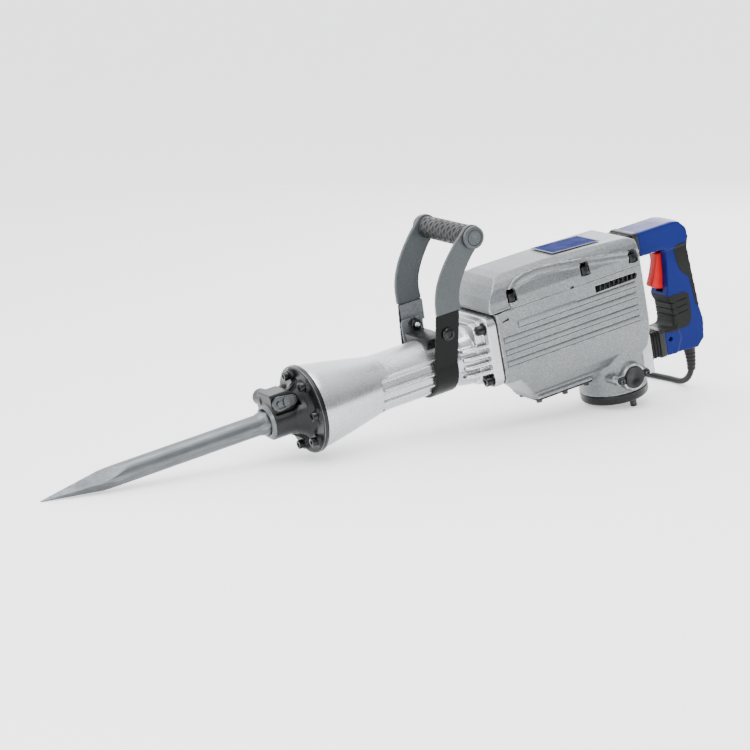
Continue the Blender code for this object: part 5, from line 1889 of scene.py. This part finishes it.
@dataclass
class SideHandle(SubAssembly):
    """The swivelling side handle: a strap round the barrel, two sleeved arms and a dimpled grip.

    Attributes:
        body: It turns about the barrel.
        clamp_x: The middle of the strap.
        grip: Where the grip runs, x and z.
        barrel: The barrel's radius.
        splay: How far an arm leans outwards for each metre of height.
        grip_radius: The rubber grip's radius.
        tie: Where the tie bolts run, x and z.
        foot: The height of the sleeves' feet on the strap.
    """

    body: str = "side_handle"
    clamp_x: float = 0.195
    grip: Point2 = (0.256, 0.17)
    barrel: float = 0.0385
    splay: float = 0.07
    grip_radius: float = 0.015
    tie: Point2 = (0.2015, 0.0495)
    foot: float = 0.0783

    def build_strap(self) -> None:
        """The bent steel strap, its tab and its saddle. The tab and a thin sheet on the far inner face are
        painted light grey, as painted light on the black strap.
        """
        inner, thick = self.barrel + 0.0003, 0.0036
        rise = [(0.0388, 0.006), (0.041, 0.021), (0.0434, 0.038), (0.0456, 0.056), (0.0475, 0.078)]
        outside = [(y + thick, z) for y, z in rise]
        under = arc((0, 0), inner, -180, 0, 40)
        over = arc((0, 0), inner + thick, 0, -180, 40)
        outline = [(-y, z) for y, z in reversed(rise)] + under + rise
        outline += outside[::-1] + over + [(-y, z) for y, z in outside]
        strap = prism("barrel_strap", outline, Plane.YZ, self.clamp_x - 0.018, self.clamp_x + 0.018)
        cast(strap, 0.001, 2)
        lean, bend = 0.011 / 0.072, 0.006
        x, z = self.tie
        reshaped(strap, lambda co: Vector((co.x + max(0.0, co.z - bend) * lean, co.y, co.z)))
        carved(strap, rod("tie hole", (x, -0.07, z), (x, 0.07, z), 0.0043))
        self.fit(strap, STRAP_BLACK, "strap", "clamp_strap", angle=50)
        outline = rounded_rectangle((0.179, 0.025), (0.213, 0.0585), 0.006)
        tab = rounded(prism("clamp_tab", outline, Plane.XZ, 0.04, 0.0425), 0.0006, 2)

        def on_strap(co: Vector) -> Vector:
            """A point of the tab, leaned with the strap."""
            ahead = max(0.0, co.z - bend) * lean * 0.4
            return Vector((co.x + ahead, co.y + (co.z - z) * 0.115 - 0.0015, co.z))

        reshaped(tab, on_strap)
        carved(tab, rod("tab hole", (x, 0.03, z), (x, 0.06, z), 0.0043))
        self.fit(tab, LIT_STRAP_GREY, "strap")
        # A thin sheet on the far strap's inner face, painted light grey: painted light on the black strap.
        outline = [(0.186, 0.05), (0.2225, 0.05), (0.225, 0.0775), (0.1885, 0.0775)]
        liner = prism("far_strap_painted_lit_face", outline, Plane.XZ, 0.0442, 0.0448)
        reshaped(liner, lambda co: Vector((co.x, co.y + (co.z - 0.056) * 0.0865 + 0.001, co.z)))
        self.fit(liner, LIT_STRAP_GREY, "strap")
        outline = arc((0, 0), inner, 50, 130, 16) + [(-0.03, 0.043), (0.03, 0.043)]
        saddle = prism("barrel_saddle", outline, Plane.YZ, self.clamp_x - 0.015, self.clamp_x + 0.015)
        self.fit(rounded(saddle, 0.0006, 2), STRAP_BLACK, "strap", "clamp_saddle")

    def build_bolt(self) -> None:
        """The two tie bolts: a dished head on the left, a nut and its bolt's end on the right."""
        x, z = self.tie
        head = [
            (0, -0.0505), (0.0086, -0.0505), (0.0086, -0.0515), (0.0076, -0.0524), (0.007, -0.054),
            (0.005, -0.0547), (0, -0.0549),
        ]
        bolt = turned("tie_screw", head, (x, 0, z), (0, 1, 0), 48)
        carved(bolt, rod("dish", (x, -0.056, z), (x, -0.053, z), 0.0052, 0.0044, 6))
        joined(bolt, rod("shank", (x, -0.0512, z), (x, -0.039, z), 0.004, sides=32))
        self.fit(bolt, BLACK_STEEL, "black_steel", "tie_bolt", angle=30)
        profile = [(0, 0.03), (0.0078, 0.03), (0.0086, 0.031), (0.0086, 0.0362), (0, 0.0362)]
        nut = turned("tie_nut", profile, (x, 0, z), (0, 1, 0), 6)
        self.fit(rounded(nut, 0.0005, 2), BLACK_STEEL, "black_steel", angle=30)
        washer = sleeve("tie_washer", (x, 0.0364, z), (x, 0.0376, z), 0.01, 0.0043, 48)
        self.fit(washer, BLACK_STEEL, "black_steel")
        profile = [(0, 0.028), (0.0034, 0.0284), (0.004, 0.03), (0, 0.0301)]
        self.fit(turned("screw_end", profile, (x, 0, z), (0, 1, 0), 32), BRIGHT_STEEL, "steel")

    def arm_outline(self) -> list[Point2]:
        """A sleeve's outline, from its foot on the strap to the eye round the grip.

        Returns:
            The outline's corners.
        """
        given = [
            (0.2065, 0, self.foot), (0.2068, 0, 0.093), (0.21, 0, 0.1085), (0.2168, 0, 0.124),
            (0.2285, 0, 0.1415), (0.242, 0, 0.1575),
        ]
        middle = line_through(given, 0.004)
        last = len(middle) - 1
        front, back = [], []
        for number, point in enumerate(middle):
            ahead = (middle[min(number + 1, last)] - middle[max(number - 1, 0)]).normalized()
            if number == 0:
                ahead = Vector((0, 0, 1))
            half = 0.0186 - 0.0028 * number / last
            side = Vector((-ahead.z, 0, ahead.x)) * half
            front.append((point.x + side.x, point.z + side.z))
            back.append((point.x - side.x, point.z - side.z))
        return back + arc(self.grip, 0.0166, -32, 118, 18) + front[::-1]

    def build_arms(self) -> None:
        """The two moulded sleeves, with a soft crown across their width."""
        for side, hand in SIDES:
            low, high = sorted((side * 0.0478, side * 0.0542))
            arm = prism(f"{hand}_sleeve", self.arm_outline(), Plane.XZ, low, high)
            cast(arm, 0.0011, 5)
            foot, splay = self.foot, self.splay
            reshaped(arm, lambda co, s=side: Vector((co.x, co.y + s * (co.z - foot) * splay, co.z)))
            x, z = self.grip
            y = side * (0.051 + (z - foot) * splay)
            carved(arm, rod("eye", (x, y - 0.01, z), (x, y + 0.01, z), 0.006))
            self.fit(arm, SLEEVE, "sleeve", f"{hand}_arm", angle=60)

    def build_grip(self) -> None:
        """The rubber grip with rows of dimples, between two plain collars."""
        half, around, along = 0.0528, 120, 150
        x, z = self.grip
        shape = bmesh.new()
        rings = []
        for i in range(along + 1):
            share = i / along
            y = -half + 2 * half * share
            ring = []
            for j in range(around):
                turn = 2 * math.pi * j / around
                away = self.grip_radius - self.dimple(y, turn)
                ring.append(shape.verts.new((x + away * math.cos(turn), y, z + away * math.sin(turn))))
            rings.append(ring)
        skin(shape, rings)
        grip = solid("grip_rubber", shape)
        carved(grip, rod("grip bore", (x, -0.07, z), (x, 0.07, z), 0.006))
        self.fit(grip, RUBBER, "rubber", "side_grip", angle=60)

    def dimple(self, y: float, turn: float) -> float:
        """How deep the grip's skin lies below its full radius at a place.

        Args:
            y: How far along the grip.
            turn: The angle round it.

        Returns:
            The depth.
        """
        edge = 0.05 - abs(y)
        if edge < 0:
            return 0.0 if edge > -0.0018 else 0.0006
        if edge < 0.0015:
            return 0.0012
        pitch, count = 0.0074, 9
        row = y / pitch
        step = 2 * math.pi / count
        best = 0.0
        for near in (math.floor(row), math.floor(row) + 1):
            offset = 0.5 * (near % 2)
            cell = turn / step - offset
            away = (cell - round(cell)) * step * self.grip_radius
            reach = math.hypot((y - near * pitch + abs(away) * 0.3) / 0.0026, away / 0.0044)
            if reach < 1.0:
                best = max(best, 0.0013 * (1 - reach**3))
        return best

    def build_caps(self) -> None:
        """The end caps with their rings, and the black washers behind them."""
        x, z = self.grip
        for side, hand in SIDES:
            profile = [
                (0, 0.0625), (0.0146, 0.0625), (0.0152, 0.0631), (0.0152, 0.0664), (0.0144, 0.0675),
                (0.0118, 0.068), (0.011, 0.068), (0.0106, 0.0671), (0.0099, 0.0671), (0.0096, 0.0679),
                (0, 0.068),
            ]
            cap = turned(f"{hand}_grip_cap", profile, (x, 0, z), (0, side, 0), 72)
            carved(cap, rod("cap hole", (x, side * 0.055, z), (x, side * 0.0655, z), 0.006))
            self.fit(cap, SLEEVE, "sleeve", f"{hand}_end_cap", angle=30)
            start, end = (x, side * 0.0606, z), (x, side * 0.0624, z)
            washer = sleeve(f"{hand}_grip_washer", start, end, 0.0158, 0.0062, 72)
            self.fit(rounded(washer, 0.0004, 2), BLACK_PLASTIC, "black_plastic")

    def build(self) -> None:
        """Builds the whole side handle."""
        self.build_strap()
        self.build_bolt()
        self.build_arms()
        self.build_grip()
        self.build_caps()


@dataclass
class RearHandle(SubAssembly):
    """The sprung D-shaped rear handle with its inlays, trigger and collars.

    Attributes:
        body: It slides on the housing's bellows.
        grip_half: Half the grip's width.
        arm_half: Half the upper arm's width.
        ribs: The heights of the finger inlay's ribs.
        screw: Where the screw through the lower arm stands, x and z.
    """

    body: str = "rear_handle"
    grip_half: float = 0.0205
    arm_half: float = 0.0265
    ribs: tuple[float, ...] = (-0.027, -0.036, -0.045)
    screw: Point2 = (0.5714, -0.0764)

    def outline(self) -> list[Point2]:
        """The handle's side view."""
        return [
            (0.5385, 0.0905), (0.5385, 0.056), (0.5735, 0.056), (0.5805, 0.054), (0.585, 0.048),
            (0.5845, 0.03), (0.5815, 0.005), (0.58, -0.008), (0.5775, -0.014), (0.579, -0.02),
            (0.582, -0.026), (0.583, -0.05), (0.5815, -0.0575), (0.577, -0.0612), (0.563, -0.0612),
            (0.563, -0.099), (0.598, -0.1003), (0.618, -0.1025), (0.63, -0.0915), (0.6335, -0.065),
            (0.629, -0.042), (0.6252, 0.006), (0.6222, 0.048), (0.6265, 0.058), (0.624, 0.076),
            (0.612, 0.088), (0.6, 0.0905),
        ]

    def top_outline(self) -> list[Point2]:
        """The wider upper arm's side view."""
        return [
            (0.5385, 0.0905), (0.5385, 0.056), (0.5755, 0.056), (0.59, 0.052), (0.616, 0.052),
            (0.623, 0.062), (0.6213, 0.076), (0.611, 0.0875), (0.6, 0.0905),
        ]

    def body_solid(self) -> Piece:
        """The handle's whole moulding before it is split.

        Returns:
            The moulding.
        """
        body = prism("handle_moulding", self.outline(), Plane.XZ, -self.grip_half, self.grip_half)
        top = prism("top", self.top_outline(), Plane.XZ, -self.arm_half, self.arm_half)
        outline = [(0.563, -0.0612), (0.563, -0.099), (0.58, -0.1), (0.59, -0.08), (0.586, -0.0612)]
        joined(body, top, prism("waist", outline, Plane.XZ, -0.0222, 0.0222))
        outline = [
            (-0.03, 0.2), (-0.03, 0.088), (-0.0225, 0.0905), (0.0225, 0.0905), (0.03, 0.088), (0.03, 0.2),
        ]
        carved(body, prism("crown", outline, Plane.YZ, 0.5, 0.7))
        return cast(body, 0.0012, 7)

    def patches(self) -> dict[str, Piece]:
        """The side views of the two rubber inlays, as cutters.

        Returns:
            Each inlay's cutter by the inlay's name.
        """
        rear = [
            (0.5985, 0.056), (0.6015, 0.028), (0.605, 0.017), (0.6125, 0.0085), (0.6185, 0.004),
            (0.624, -0.041), (0.64, -0.041), (0.635, 0.054), (0.625, 0.053), (0.618, 0.056),
        ]
        front = [
            (0.55, -0.015), (0.579, -0.015), (0.606, -0.016), (0.6125, -0.02), (0.614, -0.026),
            (0.613, -0.057), (0.607, -0.065), (0.601, -0.067), (0.574, -0.067), (0.566, -0.065),
            (0.56, -0.064), (0.56, -0.05),
        ]
        return {
            "rear_inlay": prism("rear_inlay cutter", rear, Plane.XZ, -0.03, 0.03),
            "grip_inlay": prism("grip_inlay cutter", front, Plane.XZ, -0.03, 0.03),
        }

    def switch_room(self) -> Piece:
        """The space inside the grip for the switch."""
        return block("switch room", (0.602, -0.0125, -0.01), (0.6193, 0.0125, 0.044))

    def rooms(self) -> list[Piece]:
        """The spaces inside the handle for the switch, the trigger, the arms and the lead."""
        return [
            self.switch_room(),
            block("trigger room", (0.56, -0.008, -0.011), (0.603, 0.008, 0.05)),
            block("lock room", (0.56, -0.0034, 0.0464), (0.596, 0.0034, 0.0556)),
            block("upper socket", (0.53, -0.0215, 0.0625), (0.55, 0.0215, 0.0855)),
            block("lower socket", (0.555, -0.0145, -0.093), (0.572, 0.0145, -0.067)),
            rod("cord hole", (0.616, 0, -0.12), (0.616, 0, -0.085), 0.0095),
        ]

    def build_shells(self) -> None:
        """The two blue halves and the inlays let into them."""
        body = self.body_solid()
        for name, cutter in self.patches().items():
            inlay = fattened(body, name, 0.0005)
            trimmed(inlay, cutter)
            if name == "grip_inlay":
                carved(inlay, *self.rib_cutters())
                self.fit(inlay, INLAY, "rubber", "grip_pad", angle=50)
            else:
                carved(inlay, self.switch_room())
                self.fit(inlay, INLAY, "rubber", angle=50)
        for cutter in self.patches().values():
            shrink = fattened(cutter, "inlay bed", 0.0002)
            bpy.data.objects.remove(cutter)
            carved(body, shrink)
        carved(body, *self.rooms())
        x, z = self.screw
        for side in (-1, 1):
            carved(body, rod("screw recess", (x, side * 0.015, z), (x, side * 0.04, z), 0.0036, sides=32))
        for side, hand in SIDES:
            half = fattened(body, f"{hand}_handle_half", 0.0)
            low, high = sorted((side * 0.00015, side * 0.05))
            trimmed(half, block("keep", (0.5, low, -0.2), (0.7, high, 0.2)))
            self.fit(half, BLUE, "blue_plastic", f"{hand}_handle_shell", angle=50)
            seat = (x, side * 0.0165, z)
            self.fit_screw(CapScrew(0.003, 0.002), f"{hand}_handle_screw", seat, (0, side, 0))
        mesh = body.data
        bpy.data.objects.remove(body)
        bpy.data.meshes.remove(mesh)

    def rib_cutters(self) -> list[Piece]:
        """The cutters between the ribs of the finger inlay, at its front and on both sides.

        Returns:
            The cutters.
        """
        gap = 0.0006
        cutters = [block("finger gap", (0.56, -0.03, z - gap), (0.5868, 0.03, z + gap)) for z in self.ribs]
        for side in (-1, 1):
            low, high = sorted((side * 0.02, side * 0.03))
            for z in self.ribs:
                outline = [(0.59, z), (0.608, z + 0.001), (0.608, z + 0.0022), (0.59, z + 0.0012)]
                cutters.append(prism("side rib", outline, Plane.XZ, low, high))
        return cutters

    def build_collars(self) -> None:
        """The grey collars at the front of each arm."""
        for name, x0, x1, outer, inner in (
            ("upper", 0.5285, 0.5383, (0.0278, 0.0565, 0.0915), (0.0214, 0.0631, 0.0849)),
            ("lower", 0.5527, 0.5628, (0.0225, -0.1, -0.059), (0.0144, -0.0924, -0.0676)),
        ):
            half, low, high = outer
            outline = rounded_rectangle((-half, low), (half, high), 0.005, 8)
            collar = rounded(prism(f"{name}_handle_collar", outline, Plane.YZ, x0, x1), 0.0012, 3)
            in_half, in_low, in_high = inner
            carved(collar, block("collar hole", (x0 - 0.01, -in_half, in_low), (x1 + 0.01, in_half, in_high)))
            self.fit(collar, RUBBER, "rubber", f"{name}_collar")

    def build_bellows(self) -> None:
        """The pleated rubber bellows that stretch between the housing and the handle."""
        for name, x0, x1, (half, low, high) in (
            ("upper", 0.517, 0.529, (0.0245, 0.0605, 0.088)),
            ("lower", 0.5375, 0.5532, (0.019, -0.0965, -0.062)),
        ):
            shape = bmesh.new()
            steps, pleats, deep = 24, 3, 0.0022
            rings = []
            for step in range(steps + 1):
                share = step / steps
                swell = deep * abs(math.sin(math.pi * share * pleats)) ** 0.7
                corner = (half + swell, high + swell)
                outline = rounded_rectangle((-half - swell, low - swell), corner, 0.006, 6)
                rings.append([shape.verts.new((x0 + (x1 - x0) * share, y, z)) for y, z in outline])
            skin(shape, rings)
            piece = solid(f"{name}_pleats", shape)
            shaded(piece, 60)
            piece.data.materials.append(BELLOWS_RUBBER.material())
            piece.data.transform(TOOL_FRAME)
            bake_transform(piece)
            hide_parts(f"{name}_bellows")
            self.pieces.append(piece)

    def build_trigger(self) -> None:
        """The red trigger and the white lock pin above it."""
        given = [(0.579, 0, 0.0462), (0.5752, 0, 0.033), (0.5688, 0, 0.016), (0.5628, 0, 0.004)]
        front = [(point.x, point.z) for point in line_through(given, 0.002)]
        outline = front + [
            (0.564, 0.0012), (0.572, -0.0035), (0.58, -0.0058), (0.585, -0.003), (0.587, 0.004),
            (0.593, 0.04), (0.593, 0.0462),
        ]
        trigger = prism("trigger_moulding", outline, Plane.XZ, -0.0074, 0.0074)
        self.fit(rounded(trigger, 0.0018, 4, 40), RED, "red_plastic", "trigger", body="trigger", angle=40)
        profile = [(0, 0), (0.0019, 0), (0.0024, 0.0005), (0.0024, 0.0145), (0.002, 0.015), (0, 0.015)]
        pin = turned("lock_pin", profile, (0.566, 0, 0.0496), (1, 0, 0), 32)
        self.fit(pin, WHITE_PLASTIC, "white_plastic", "lock_button", body="lock_button")

    def build(self) -> None:
        """Builds the whole rear handle."""
        self.build_shells()
        self.build_collars()
        self.build_bellows()
        self.build_trigger()


# ---------------------------------------------------------------- the whole hammer


def dress_frame() -> None:
    """Gives each CAD node that is still shown the finish of its material slot."""
    for entry in frame["record"]["subparts"]:
        node = frame["nodes"][entry["node"]]
        finish = SLOT_FINISHES[entry["material_slot"]]
        for slot in node.material_slots:
            slot.material = finish.material()
    label_low, label_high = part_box("name_plate")
    middle = Matrix.Rotation(PITCH, 3, "Y") @ ((label_low + label_high) / 2)
    label = Label(
        "blank_label", (0.0025, 0.009, 0.1), 0.6, 0.0, 0.0, 0.03, middle=tuple(middle), half=(0.0372, 0.025)
    )
    for slot in frame["nodes"]["name_plate"].material_slots:
        slot.material = label.material()


def main() -> None:
    """Builds the studio and every sub-assembly in order, and notes the model's size."""
    logging.basicConfig(level=logging.INFO, format="%(name)s: %(message)s")
    Studio().build()
    dress_frame()
    kinds = (MainsLead, Chisel, ToolHolder, CylinderCase, Housing, SideHandle, RearHandle)
    for assembly in (kind() for kind in kinds):
        assembly.build()
        for piece in assembly.pieces:
            faces = len(piece.data.polygons) if piece.type == "MESH" else 0
            LOG.info("%s: %s, %d faces", type(assembly).__name__, piece.name, faces)


if __name__ == "__main__":
    main()
